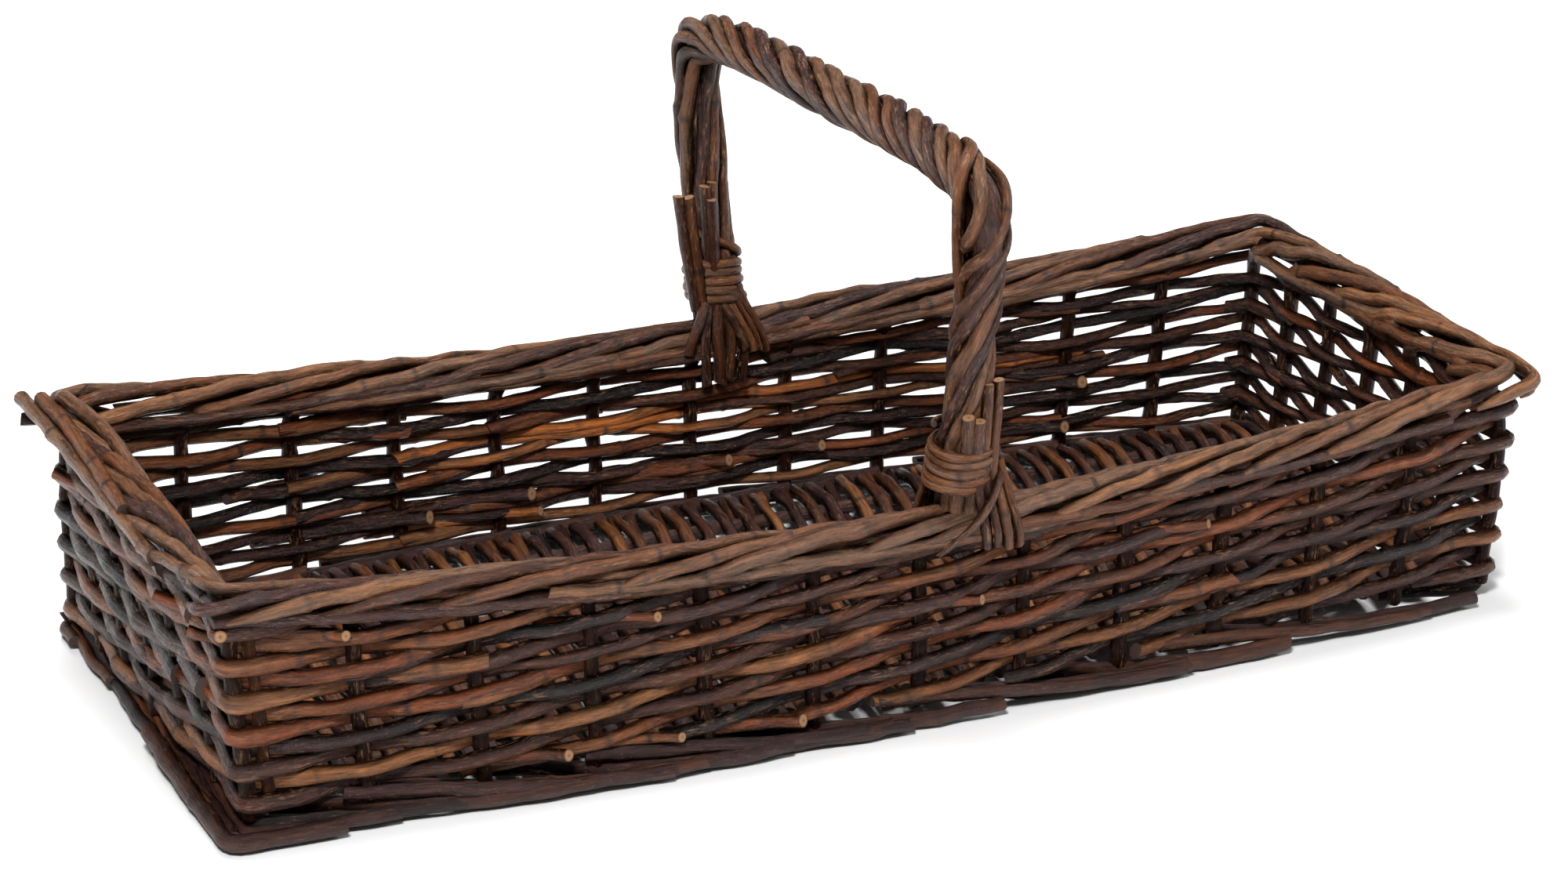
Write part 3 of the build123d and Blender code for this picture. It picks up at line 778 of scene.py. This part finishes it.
def row_height(place, row):
    """Heights of a row at places round the loop."""
    place = np.mod(np.asarray(place, float), LOOP)
    made = np.zeros_like(place)
    which = wall_index(place)
    for w, (wall, (spots, levels)) in enumerate(zip(WALLS, LEVEL_TABLE)):
        m = which == w
        if m.any() and row in levels:
            made[m] = np.interp(along_wall(wall, place[m]), spots, levels[row])
    return made


# On the front the rods climb from left to right: by the right corner each has risen this many
# rows. New ones start along the foot, and the highest end under the border.
CLIMB_ROWS = 8
CLIMB_PLACES = [0.3, 3.0, 6.0, 9.0, 10.6, 11.6]
CLIMB_SHARES = [1.0, 0.80, 0.51, 0.21, 0.05, 0.0]


def climbing_height(place, row):
    """Heights of a rod that is in this row at the front's left end."""
    level = np.clip(row + CLIMB_ROWS * np.interp(place, CLIMB_PLACES, CLIMB_SHARES), 0, MAIN_ROWS - 1)
    low = np.minimum(level.astype(int), MAIN_ROWS - 2)
    heights = np.array([row_height(place, ("main", k)) for k in range(MAIN_ROWS)])
    each = np.arange(len(level))
    return (1 - (level - low)) * heights[low, each] + (level - low) * heights[low + 1, each]


def climb_place(share):
    """Where on the front the rods have climbed by this share."""
    return float(np.interp(share, CLIMB_SHARES[::-1], CLIMB_PLACES[::-1]))


# The handle's bow goes in beside each long wall's middle stake: its place, and the gap to the bow
BOW_GAP = HANDLE_X / LONG_BAY
BOWS = [(LONG_BAYS / 2, -BOW_GAP), (LOOP / 2 + LONG_BAYS / 2, BOW_GAP)]


def held_by_bow(place):
    """Keeps a weaver on the same side of the middle stake and the bow beside it."""
    for middle, gap in BOWS:
        d = np.mod(place - middle + LOOP / 2, LOOP) - LOOP / 2
        towards = d * np.sign(gap)
        inside = (towards > 0) & (towards < 1)
        moved = np.clip((towards - abs(gap)) / (1 - abs(gap)), 0, 1)
        place = np.where(inside, place - d + np.sign(gap) * moved, place)
    return place


# Over its first and last stretch, in bays, a weaver rises over the one before it and sinks below
# the next
LAP = 1.3
LAP_RISE = 1.5


def wander(rng, s, size, wave):
    """A slow drift of a weaver, with its size and the length of its waves in mm."""
    return ripple(int(rng.integers(1 << 30)), s * ROUGH_BAY, wave) * size


def weaver(bundle, start, end, parity, height_at, thick, tip, tone, butt, push=1.0):
    """A weaving rod from one place on the loop to another, in front of one upright and behind
    the next. It starts with its butt and ends with its tip, a little past an upright."""
    rng = bundle.rng
    first = start - butt / bay_length(start)
    s = np.linspace(first, end, int((end - first) * ROUGH_BAY / PATH_STEP))
    swing = np.cos(np.pi * (held_by_bow(s) + parity))
    swing = np.where(s < start, swing[np.searchsorted(s, start)], swing)
    out = swing * push * np.interp(s % LOOP, *CREST_TABLE)
    out = out + wander(rng, s, 0.35, 90)
    leaving = ease((start + 0.12 - s) * bay_length(start) / 12)
    out = out + np.sign(swing[0]) * leaving * 1.4
    height = height_at(s)
    height = height + LAP_RISE * (1 - ease((s - start) / LAP)) - LAP_RISE * ease((s - end + LAP) / LAP)
    height = height + wander(rng, s, 0.45, 130)
    swell = soften(np.where(wall_index(s) == LEFT, LEFT_WALL_SWELL, 1.0), 12)
    bundle.rod(soften(loop_points(s, out, height), 3), thick, tip, tone, step=2.6, swell=swell)


def wall_tone(rng):
    return float(rng.choice(WALL_TONES, p=WALL_TONE_SHARES) + rng.normal(0, 0.05))


def weave_front(bundle, rng):
    """Climbing rods, which pass round both corners where they meet them within the rows."""
    for row in range(-CLIMB_ROWS, MAIN_ROWS):
        if row >= 0:
            left = WALLS[LEFT].start + int(rng.integers(2, 5)) + rng.uniform(0.05, 0.2)
        else:
            left = climb_place((-row - 0.2) / CLIMB_ROWS)
        if row + CLIMB_ROWS < MAIN_ROWS:
            right = -int(rng.integers(2, 4))
        else:
            right = climb_place((MAIN_ROWS - 0.6 - row) / CLIMB_ROWS)
        cuts = [right, left]
        if left - right > 9:
            cuts.insert(1, round(right + (left - right) * rng.uniform(0.4, 0.6)))
        for start, end in zip(cuts[:-1], cuts[1:]):
            reach = 0.12 if end == left else 1.12
            weaver(bundle, start, end + reach, row % 2, lambda place: climbing_height(place, row),
                   rng.uniform(*ROD_THICK[FRONT]), rng.uniform(0.8, 0.95), wall_tone(rng),
                   rng.uniform(3, 9))


def weave_rest(bundles, rng):
    """Level rows on the other walls. A rod that would end on a corner goes a bay further."""
    for row in range(MAIN_ROWS):
        start = WALLS[LEFT].start + int(rng.integers(1, 4))
        lap_end = LOOP - 1
        while start < lap_end - 1:
            end = min(start + int(rng.integers(7, 11)), lap_end)
            if lap_end - end < 4:
                end = lap_end
            if end % LOOP in CORNERS:
                end += 1
            w = int(wall_index(0.5 * (start + end)))
            thick = rng.uniform(*ROD_THICK[w])
            weaver(bundles[w], start, end + rng.uniform(0.05, 0.2), row,
                   lambda place: row_height(place, ("main", row)), thick, rng.uniform(0.74, 0.92),
                   wall_tone(rng), rng.uniform(3, 9))
            start = end - 1


def pack_rows(bundle, rng, wall):
    """Short rows packed between the others, each of two rods that overlap."""
    for k, (after, centre, reach) in enumerate(PACKING_ROWS[wall.name]):
        a, b = ((end + wall.half_along) / (2 * wall.half_along) * wall.bays + wall.start
                for end in (centre - reach, centre + reach))
        a, b = max(a, wall.start + 0.3), min(b, wall.start + wall.bays - 0.3)
        split = 0.5 * (a + b) + rng.uniform(-0.7, 0.7)
        for start, end in ((a, split + 0.5), (split - 0.5, b)):
            weaver(bundle, start, end, after + (k % 2), lambda place: row_height(place, ("pack", k)),
                   rng.uniform(5.0, 6.2), rng.uniform(0.6, 0.8), wall_tone(rng), 4, push=0.95)


# Butts of weavers that stand out of the walls where the photo shows them: place, height, side
# (1 outside), which way the rod comes from, length in bays, thickness, tone.
BUTTS = [(22.30, 20.5, -1, -1, 1.6, 5.2, 0.95), (22.22, 30.5, -1, -1, 1.5, 7.2, 0.10),
         (21.15, 27.5, -1, -1, 1.5, 6.8, 0.12), (24.34, 30.5, -1, -1, 1.3, 6.2, 0.40),
         (25.36, 30, -1, -1, 1.3, 6.2, 0.30), (28.25, 41.5, -1, -1, 1.5, 7, 0.10),
         (28.09, 19.5, -1, -1, 1.7, 6.6, 0.08), (11.90, 87, 1, 1, 0.9, 6.6, 0.40),
         (10.93, 83, 1, 1, 1, 5.6, 0.60), (8.39, 76, 1, 1, 1.1, 5.6, 0.50),
         (7.15, 14.5, 1, 1, 1.3, 6.8, 0.45), (9.21, 17.5, 1, 1, 1.2, 6.4, 0.35),
         (8.23, 17, 1, 1, 1.3, 5.4, 0.60), (3.35, 71.5, 1, 1, 1.2, 5.8, 0.45),
         (5.51, 58, 1, 1, 1, 5.6, 0.55), (17.30, 78, 1, -1, 0.9, 6.6, 0.60),
         (13.86, 76.5, 1, -1, 0.9, 6.6, 0.50), (12.75, 79, 1, -1, 0.7, 5.8, 0.55),
         (33.20, 38, -1, 1, 1, 6, 0.30), (31.60, 58, 1, 1, 1, 6, 0.40),
         (20.40, 52, 1, -1, 1.1, 6, 0.40), (26.60, 66, 1, -1, 1.1, 6, 0.30)]
BUTT_FACE = (-0.4, -0.85, 0.35)


def stray_ends(bundles):
    for place, height, side, way, length, thick, tone in BUTTS:
        turn = 9.0 / bay_length(place)
        controls = [(place + way * length, -side * 3.5, height - 1.0),
                    (place + way * length * 0.55, side * 0.5, height - 0.3),
                    (place + way * turn, side * 4.4, height),
                    (place, side * 9.4, height + 0.8)]
        thick = (0.8 if side > 0 else 0.9) * thick
        bundles[int(wall_index(place))].rod(loop_path(controls, rounds=2), thick, 1.0, tone, sides=12,
                                            step=2.2, wobble=0.15, slant=(0.3, 0.35), fresh=(0.0, 1.0),
                                            face=BUTT_FACE)


def make_weave():
    weaves = wall_bundles("Weave", "wall", 31, wall_painted_shade)
    rng = np.random.default_rng(5)
    weave_front(weaves[FRONT], rng)
    weave_rest(weaves, rng)
    pack_rows(weaves[BACK], rng, WALLS[BACK])
    stray_ends(weaves)
    return weaves


# Foot border. It turns the other way round from the rim. Places in bays, out and height.

FOOT_ROLL = [(0, -7.5, 9.6), (0.5, -4.6, 7.2), (1, -0.6, 5.2), (1.4, 2.4, 4.4), (1.9, 5.8, 4),
             (2.45, 8, 4.4), (2.8, 8.8, 5)]
# Outer rods, whose blunt left ends show under the weave of the front, and where they start
FOOT_OUTER = [(0, 1.5, 12.4), (0.6, 3.6, 11), (1.2, 5.8, 8.6), (1.8, 7.8, 6.2), (2.4, 9.2, 4.8),
              (2.9, 9.8, 4.2)]
FOOT_OUTER_PLACES = [11.2, 9.1, 6.4, 3.6]
FOOT_GAPS = (2, 4, 7)
FOOT_SHAPE = {"sides": 14, "step": 2.6, "rough": 0.03}
# The foot stands further out round the near left corner
FOOT_OUT = ([0, 7, 11, 13.5, 15.5, LOOP], [0, 0, 4.0, 4.0, 0, 0])
# Along the left wall its rods are thinner and lie closer to their middle line
FOOT_LINE = 2.0
FOOT_FLAT = 0.5
FOOT_THINNER = 0.8
FOOT_CORNER = [(14.6, 9.5, 8.6), (13.4, 11.5, 5.4), (12.5, 12.5, 4.3), (12, 12.8, 4.1), (11.6, 12.4, 4.1),
               (11.1, 11.4, 4.3)]


def foot_rod(bundle, start, roll):
    rng = bundle.rng
    bays = rng.uniform(0.9, 1.06) * (1.15 if bay_length(start - 1.0) == SHORT_BAY else 1.0)
    at_left = WALLS[LEFT].start < start <= WALLS[BACK].start + 2
    flat = FOOT_FLAT if at_left else 1.0
    controls = []
    for step, out, height in roll:
        place = start - step * bays
        further = float(np.interp(place % LOOP, *FOOT_OUT)) * step / FOOT_ROLL[-1][0]
        out = FOOT_LINE + (out - FOOT_LINE) * flat + further
        controls.append((place, out + rng.normal(0, 0.3), height + rng.normal(0, 0.15)))
    path = loop_path(controls, rounds=6)
    thick = rng.uniform(6.6, 7.8) if roll is FOOT_ROLL else rng.uniform(5.6, 6.6)
    thick -= FOOT_THINNER * at_left
    path[:, 2] = np.maximum(path[:, 2], thick / 2 * 1.06)
    bundle.rod(path, thick, rng.uniform(0.74, 0.92), rng.uniform(0.05, 0.8), **FOOT_SHAPE,
               wobble=0.25, slant=(0.2, None))


def make_foot():
    feet = wall_bundles("Foot_Border", "foot", 41, foot_painted_shade)
    starts = [(index, FOOT_ROLL) for index in range(LOOP) if index not in FOOT_GAPS]
    for start, roll in starts + [(place, FOOT_OUTER) for place in FOOT_OUTER_PLACES]:
        foot_rod(feet[int(wall_index(start - 1.0))], start, roll)
    corner = soften(loop_path(FOOT_CORNER, rounds=4), 4)
    feet[LEFT].rod(corner, 7.2, 0.95, 0.45, **FOOT_SHAPE, wobble=0.2)
    return feet


# Base

STICK_SHARES = [-0.82, -0.28, 0.28, 0.82]
BASE_AXIS = 9.3
# How far the cross rods pass over and under the sticks
BASE_DEPTH = 4.3
# Gaps between the base and the middle lines of the side, left and right walls
BASE_EDGE = 9.0
BASE_LEFT = LOW_LENGTH + 1.0
BASE_RIGHT = LOW_LENGTH - 5.0
CROSS_INSET = 2.6
CROSS_SLANT = math.radians(9.0)
BASE_TONES = [0.15, 0.35, 0.5, 0.65, 0.85]


def base_half_width(x):
    x = np.minimum(np.abs(x), LOW_LENGTH)
    return MID_WIDTH + SIDE_BOW * (1 - (x / LOW_LENGTH) ** 2) - BASE_EDGE


def make_base():
    """Long sticks, and cross rods that pass over one and under the next."""
    sticks = Bundle("Base_Long_Sticks", "base", 51)
    cross = Bundle("Base_Cross_Rods", "base", 52, base_painted_shade)
    rng = cross.rng
    end_half = base_half_width(BASE_RIGHT)
    for share in STICK_SHARES:
        points = [(x, share * end_half + rng.normal(0, 0.8), BASE_AXIS + rng.normal(0, 0.25))
                  for x in np.linspace(-BASE_LEFT, BASE_RIGHT, 9)]
        sticks.rod(smooth_through(points), 6.4, 0.92, rng.uniform(0.2, 0.7), sides=12, step=3.0)
    x = -BASE_LEFT + 3.0
    side = 1
    while x < BASE_RIGHT - 2:
        thick = rng.uniform(5.6, 6.8)
        slant = CROSS_SLANT * ease((x + 250) / 300) + rng.normal(0, 0.010)
        half = base_half_width(x) - abs(rng.normal(0, 1.2))
        passes = [(share * end_half / half, side * (-1) ** k) for k, share in enumerate(STICK_SHARES)]
        points = []
        for share, rise in [(-1.0, 0.0)] + passes + [(1.0, 0.0)]:
            y = share * half
            at = float(np.clip(x + math.tan(slant) * y, CROSS_INSET - BASE_LEFT, BASE_RIGHT - CROSS_INSET))
            points.append((at, y, BASE_AXIS + rise * BASE_DEPTH + rng.normal(0, 0.15)))
        cross.rod(smooth_through(points), thick, rng.uniform(0.75, 1.0),
                  float(rng.choice(BASE_TONES)) + rng.normal(0, 0.06), step=2.6, wobble=0.25)
        x += thick * 0.5 + rng.uniform(1.8, 2.4)
        side = -side
    return sticks, cross


# Handle. The hoop's centre line as (y, z), from the near foot to the far one. It leans a little
# along x.

HOOP = [(-118.2, 92), (-119.3, 104), (-121.4, 116), (-126.6, 150), (-132.2, 180),
        (-136.2, 202), (-138.6, 214), (-136, 225), (-124, 231.6), (-105, 233.8),
        (-60, 233.8), (0, 231.6), (60, 229.2), (100, 226.6), (122, 222.6), (133.4, 216),
        (137, 204), (135.6, 188), (132, 168), (127.6, 142), (121.8, 116), (119.6, 104),
        (118.4, 92)]
HOOP_X = HANDLE_X + 1.9
HOOP_SKEW = 0.0085


def hoop_frame():
    """The hoop's centre line, its outward direction and the distance along it."""
    line = smooth_through([(HOOP_X - HOOP_SKEW * y, y, z) for y, z in HOOP], 2.0)
    return line, np.cross([1.0, 0, 0], directions(line)), arc_length(line)


LINE, OUTWARD, HOOP_S = hoop_frame()


def hoop_at(side, height):
    """Distance along the hoop of a height on the near (-1) or far (1) leg."""
    half = len(LINE) // 2
    part = slice(0, half) if side < 0 else slice(half, None)
    k = np.argmin(np.abs(LINE[part, 2] - height) + 50 * (np.abs(LINE[part, 1]) < 100))
    return HOOP_S[part][k]


NEAR_LASH_TOP, FAR_LASH_TOP = hoop_at(-1, 124), hoop_at(1, 124)
NEAR_CORNER, FAR_CORNER = hoop_at(-1, 226), hoop_at(1, 215)
# Turns of the roping along the hoop
TWIST = [(0.0, 0.0), (NEAR_LASH_TOP, 0.02), (NEAR_LASH_TOP + 45, 0.36), (NEAR_CORNER - 12, 0.80),
         (NEAR_CORNER + 10, 0.90), (NEAR_CORNER + 95, 1.82), (FAR_CORNER - 10, 3.00),
         (FAR_CORNER + 12, 3.06), (FAR_LASH_TOP, 3.28), (HOOP_S[-1], 3.30)]
ROPE_RODS = 8
ROPE_RADIUS = 7.7
NEAR_LEG_IN = 1.3
ROPE_TONES = [0.12, 0.3, 0.42, 0.55, 0.7, 0.82]
# Where rods stand out of the rope: how near its middle is, the angle, and by how much
ROPE_SLACK = [(bell(HOOP_S, NEAR_CORNER, 11), -0.9, (1.4, 3.4)),
              (bell(HOOP_S, FAR_CORNER, 10), 0.6, (1.6, 4.2)),
              (bell(HOOP_S, FAR_CORNER + 38, 24), 1.2, (0.5, 3.5))]
# The rod folded back over the near corner
FOLDED_ROD = [(22, -108, 240), (19.5, -118, 241.6), (13.5, -128.5, 241.6), (7.2, -134.5, 236.4),
              (5.6, -136.2, 231), (6, -135, 215), (7.6, -133.6, 196), (11, -130, 180)]
CORE_OUT = 4.0


def rope_painted_shade(points, away):
    """A rod's faces are open away from the hoop's centre line, with painted shade towards it."""
    nearest = np.argmin(np.linalg.norm(points[:, None, :] - LINE[None, :, :], axis=2), axis=1)
    return painted_shade_from(points, away, LINE[nearest], 0.6)


def make_roping():
    """Rods roped round the hoop: sharp folds at both corners, and the core bare at the near one."""
    rope = Bundle("Handle_Roping", "handle", 61, rope_painted_shade)
    core = Bundle("Handle_Core", "handle", 62)
    rng = rope.rng
    twist = soften(np.interp(HOOP_S, *zip(*TWIST)), 12)
    bare = bell(HOOP_S, NEAR_CORNER - 6, 24)
    near_leg = 1 - ease((HOOP_S - NEAR_CORNER + 40) / 30)
    for k in range(ROPE_RODS):
        thick = rng.uniform(5.3, 6.5)
        angle = 2 * np.pi * (twist + (k + 0.35 + rng.normal(0, 0.08)) / ROPE_RODS)
        angle = angle + 1.05 * bare * np.sin(angle + 0.80)
        radius = ROPE_RADIUS - NEAR_LEG_IN * near_leg + (5.9 - thick) * 0.4
        radius = radius + 0.5 * ripple(90 + k, HOOP_S, 60)
        for near, turn, slack in ROPE_SLACK:
            radius = radius + near * np.clip(np.cos(angle + turn), 0, 1) * rng.uniform(*slack)
        offset = OUTWARD * (radius * np.cos(angle))[:, None]
        offset[:, 0] += radius * np.sin(angle)
        rope.rod(LINE + offset, thick, rng.uniform(0.9, 1.0),
                 float(rng.choice(ROPE_TONES)) + rng.normal(0, 0.04), sides=12, step=2.4, wobble=0.28)
    folded = soften(smooth_through(FOLDED_ROD, 2.0), 1)
    rope.rod(folded, 5.6, 0.95, 0.5, sides=12, step=2.2, wobble=0.15)
    core.rod(LINE + OUTWARD * (CORE_OUT * bare)[:, None], 11.6, 1.0, 0.05, sides=16, step=2.6, wobble=0.2,
             knot_gap=(60, 120))
    return rope, core


# Each leg, from the lashing up and down. lash: its foot and top along the hoop. climb and turn: how
# far and how much round its end climbs away. tops and ends: the fan's x at the lashing and at the
# border. face, high, drop and step: the fan's distance from the middle, its top, its drop below the
# rim and its step outwards. crossing: the rod that crosses the fan, with its thickness, tip and
# tone. heads: the cut ends above the lashing; foot_y, spread and shift place their feet.
Leg = namedtuple("Leg", "name side lash radius wide climb turn tops ends face high drop step crossing "
                        "thick tip tone heads foot_y spread shift")
LEGS = [
    Leg(name="Front", side=-1, lash=(hoop_at(-1, 101), NEAR_LASH_TOP), radius=11.9, wide=1.06,
        climb=0.28, turn=2.4, tops=[17.5, 21.5, 25.6, 29.4], ends=[20, 24.6, 29.6, 34.4], face=132,
        high=106, drop=8, step=4.6, crossing=[(30.5, -124, 112), (27.5, -131.5, 109), (21, -137, 100),
                                              (9.5, -139.6, 89.5), (-2.5, -138.6, 81.5)],
        thick=5.4, tip=0.42, tone=0.35,
        heads=[(20.4, -134.6, 149.3), (25.2, -134, 150.2), (11.6, -135.4, 136.8), (16.2, -136.2, 134.8)],
        foot_y=-130.5, spread=0.78, shift=1.4),
    Leg(name="Back", side=1, lash=(hoop_at(1, 101), FAR_LASH_TOP), radius=11.4, wide=1, climb=0.85,
        turn=3.4, tops=[13, 16.6, 20, 22.8], ends=[21.1, 25, 28.4, 31.4], face=109.5, high=104,
        drop=6.6, step=-3.2, crossing=[(5.5, 111.5, 106), (2, 108.2, 99), (-3.5, 106.2, 88),
                                       (-4.8, 106.8, 82)],
        thick=5.2, tip=0.9, tone=0.4,
        heads=[(-5.6, 115, 155), (-1.2, 114.2, 154.2), (7.6, 116.4, 157.5), (11.4, 117.4, 158.5),
               (9.4, 113.2, 152)],
        foot_y=111.5, spread=0.62, shift=0),
]
RIM_Z = BORDER_TOP - RIM_DIP
LASH_TURNS = 5.15
THIN_SHAPE = {"sides": 12, "step": 2.0, "wobble": 0.1}
# Cut ends on the inside of the wall: the first one's x, the pitch, how many, and their face
INNER_FIRST, INNER_PITCH, INNER_ENDS = HANDLE_X - 8.6, 5.9, 4
INNER_FACE = MID_WIDTH + SIDE_BOW - 9.8


def round_leg(s, angle, radius, wide):
    """Points round a leg's centre line at distances along the hoop."""
    centre = np.stack([np.interp(s, HOOP_S, LINE[:, i]) for i in range(3)], axis=1)
    out = np.stack([np.interp(s, HOOP_S, OUTWARD[:, i]) for i in range(3)], axis=1)
    path = centre + out * (radius * np.cos(angle))[:, None]
    path[:, 0] += wide * radius * np.sin(angle)
    return path


def leg_path(leg, points):
    """A smooth path through points that are given as on the far leg."""
    return smooth_through([(x, leg.side * y, z) for x, y, z in points], 1.5)


def lashing(leg):
    """One thin rod wound round a leg, and its end, which climbs away over the turns."""
    bundle = Bundle(f"{leg.name}_Handle_Lashing", "handle", 71 + leg.side, rope_painted_shade)
    foot, top = leg.lash
    t = np.linspace(0, 1, int(LASH_TURNS * 34))
    s = foot + (top - foot) * (0.05 + 0.9 * t) + 0.5 * ripple(70 + leg.side, t * LASH_TURNS, 1.3)
    angle = 2 * np.pi * LASH_TURNS * t + 1.0
    radius = leg.radius + 0.6 * ripple(72 + leg.side, t * LASH_TURNS, 0.9)
    bundle.rod(round_leg(s, angle, radius, leg.wide), 4.9, 0.85, 0.62, **THIN_SHAPE,
               knot_gap=(60, 140))
    t = np.linspace(0, 1, 30)
    s = foot + (top - foot) * (0.96 + leg.climb * t)
    path = round_leg(s, angle[-1] + leg.turn * t, leg.radius - 0.6 * t, leg.wide)
    bundle.rod(path, 4.4, 0.6, 0.5, **THIN_SHAPE)
    return bundle


def ties(leg):
    """The fan of thin rods from the lashing over the border, and one end that crosses it."""
    bundle = Bundle(f"{leg.name}_Handle_Ties", "handle", 81 + leg.side, rope_painted_shade)
    rng = bundle.rng
    for top_x, end_x in zip(leg.tops, leg.ends):
        low = RIM_Z - leg.drop + rng.uniform(-0.8, 0.8)
        points = [(top_x - 0.25 * (end_x - top_x), leg.face - 2.6 * np.sign(leg.step), leg.high + 8.0),
                  (top_x, leg.face, leg.high),
                  (0.5 * (top_x + end_x), leg.face + 0.62 * leg.step, RIM_Z + 4.5),
                  (end_x, leg.face + leg.step, low + 1.5),
                  (end_x + 0.8, leg.face + leg.step * 0.85 - 1.0, low - 3.0)]
        bundle.rod(leg_path(leg, points), rng.uniform(4.3, 5.0), 0.92, rng.uniform(0.2, 0.7), step=2.0,
                   wobble=0.15)
    bundle.rod(smooth_through(leg.crossing, 1.5), leg.thick, leg.tip, leg.tone, sides=12, step=2.0,
               wobble=0.15)
    return bundle


def stubs(leg):
    """Cut rod ends: above the lashing, and inside below the border."""
    bundle = Bundle(f"{leg.name}_Cut_Rod_Ends", "handle", 91 + leg.side, rope_painted_shade)
    rng = bundle.rng
    for x, y, z in leg.heads:
        low_x = HANDLE_X + (x - HANDLE_X) * leg.spread + leg.shift
        middle = (0.6 * low_x + 0.4 * x, 0.6 * leg.foot_y + 0.4 * y, 120.0)
        bundle.rod(smooth_through([(low_x, leg.foot_y, 102.0), middle, (x, y, z)], 1.5),
                   rng.uniform(4.8, 5.8), 0.97, rng.uniform(0.15, 0.6), **THIN_SHAPE,
                   slant=(0.2, 0.15), fresh=(0.0, 1.0))
    for k in range(INNER_ENDS):
        x = INNER_FIRST + INNER_PITCH * k
        bottom = RIM_Z - rng.uniform(17, 25)
        points = [(HANDLE_X + (x - HANDLE_X) * 0.7, INNER_FACE + 3.6, 103), (x, INNER_FACE + 0.6, 90),
                  (x + rng.normal(0, 0.6), INNER_FACE - 0.4, bottom)]
        bundle.rod(leg_path(leg, points), rng.uniform(5.0, 6.0), 0.95, rng.uniform(0.1, 0.5),
                   **THIN_SHAPE, slant=(0.2, 0.6), fresh=(0.0, 1.0))
    return bundle


# Stage, in metres

FLOOR_HALF = 6.0
FLOOR_Z = -0.0006
FLOOR_COLOUR = (0.93, 0.93, 0.93)
# Sky strength for light on the basket, and for what the camera sees behind it
SKY_LIGHT, SKY_SEEN = 0.15, 1.0
LAMPS = [("Key", (-0.9, -1.5, 2.0), 62.0, 0.4), ("Fill", (1.8, -1.0, 1.3), 12.0, 1.0),
         ("Top", (0.0, 0.5, 2.4), 66.0, 1.2)]
LAMP_AIM = Vector((0, 0, 0.06))


def make_floor():
    g = Graph("Floor")
    g.put(g.shader["Base Color"], FLOOR_COLOUR)
    g.put(g.shader["Roughness"], 0.9)
    corners = [(x * FLOOR_HALF, y * FLOOR_HALF, FLOOR_Z) for x, y in ((-1, -1), (1, -1), (1, 1), (-1, 1))]
    mesh = bpy.data.meshes.new("Floor")
    mesh.from_pydata(corners, [], [(0, 1, 2, 3)])
    mesh.materials.append(g.material)
    floor = add_object("Floor", mesh)


def make_light():
    """A pale sky and soft studio lamps."""
    world = bpy.data.worlds.new("World")
    world.use_nodes = True
    tree = world.node_tree
    background = tree.nodes["Background"]
    background.inputs["Color"].default_value = (1, 1, 1, 1)
    path = tree.nodes.new("ShaderNodeLightPath")
    strength = tree.nodes.new("ShaderNodeMapRange")
    strength.inputs["To Min"].default_value = SKY_LIGHT
    strength.inputs["To Max"].default_value = SKY_SEEN
    tree.links.new(path.outputs["Is Camera Ray"], strength.inputs["Value"])
    tree.links.new(strength.outputs["Result"], background.inputs["Strength"])
    bpy.context.scene.world = world
    for name, location, energy, size in LAMPS:
        data = bpy.data.lights.new(name, "AREA")
        data.energy = energy
        data.size = size
        lamp = add_object(name, data)
        lamp.location = location
        lamp.rotation_euler = (LAMP_AIM - lamp.location).to_track_quat("-Z", "Y").to_euler()
    bpy.context.scene.view_settings.view_transform = "Standard"


def main():
    make_camera()
    make_floor()
    make_light()
    borders, corner = make_border()
    for wall, border in zip(WALLS, borders):
        border.build(f"{wall.name}_stakes_and_border", f"{wall.name}_laid_in_border_rods")
    corner.build("end_corner_posts")
    for wall, weave, foot in zip(WALLS, make_weave(), make_foot()):
        weave.build(f"{wall.name}_weave")
        foot.build(f"{wall.name}_foot_border")
    sticks, cross = make_base()
    sticks.build("base_long_sticks")
    cross.build("base_cross_rods")
    rope, core = make_roping()
    rope.build("handle_roping")
    core.build("handle_bow")
    for leg in LEGS:
        wall = leg.name.lower()
        lashing(leg).build(f"{wall}_handle_lashing")
        ties(leg).build(f"{wall}_handle_ties")
        stubs(leg).build(f"{wall}_handle_ties")


main()
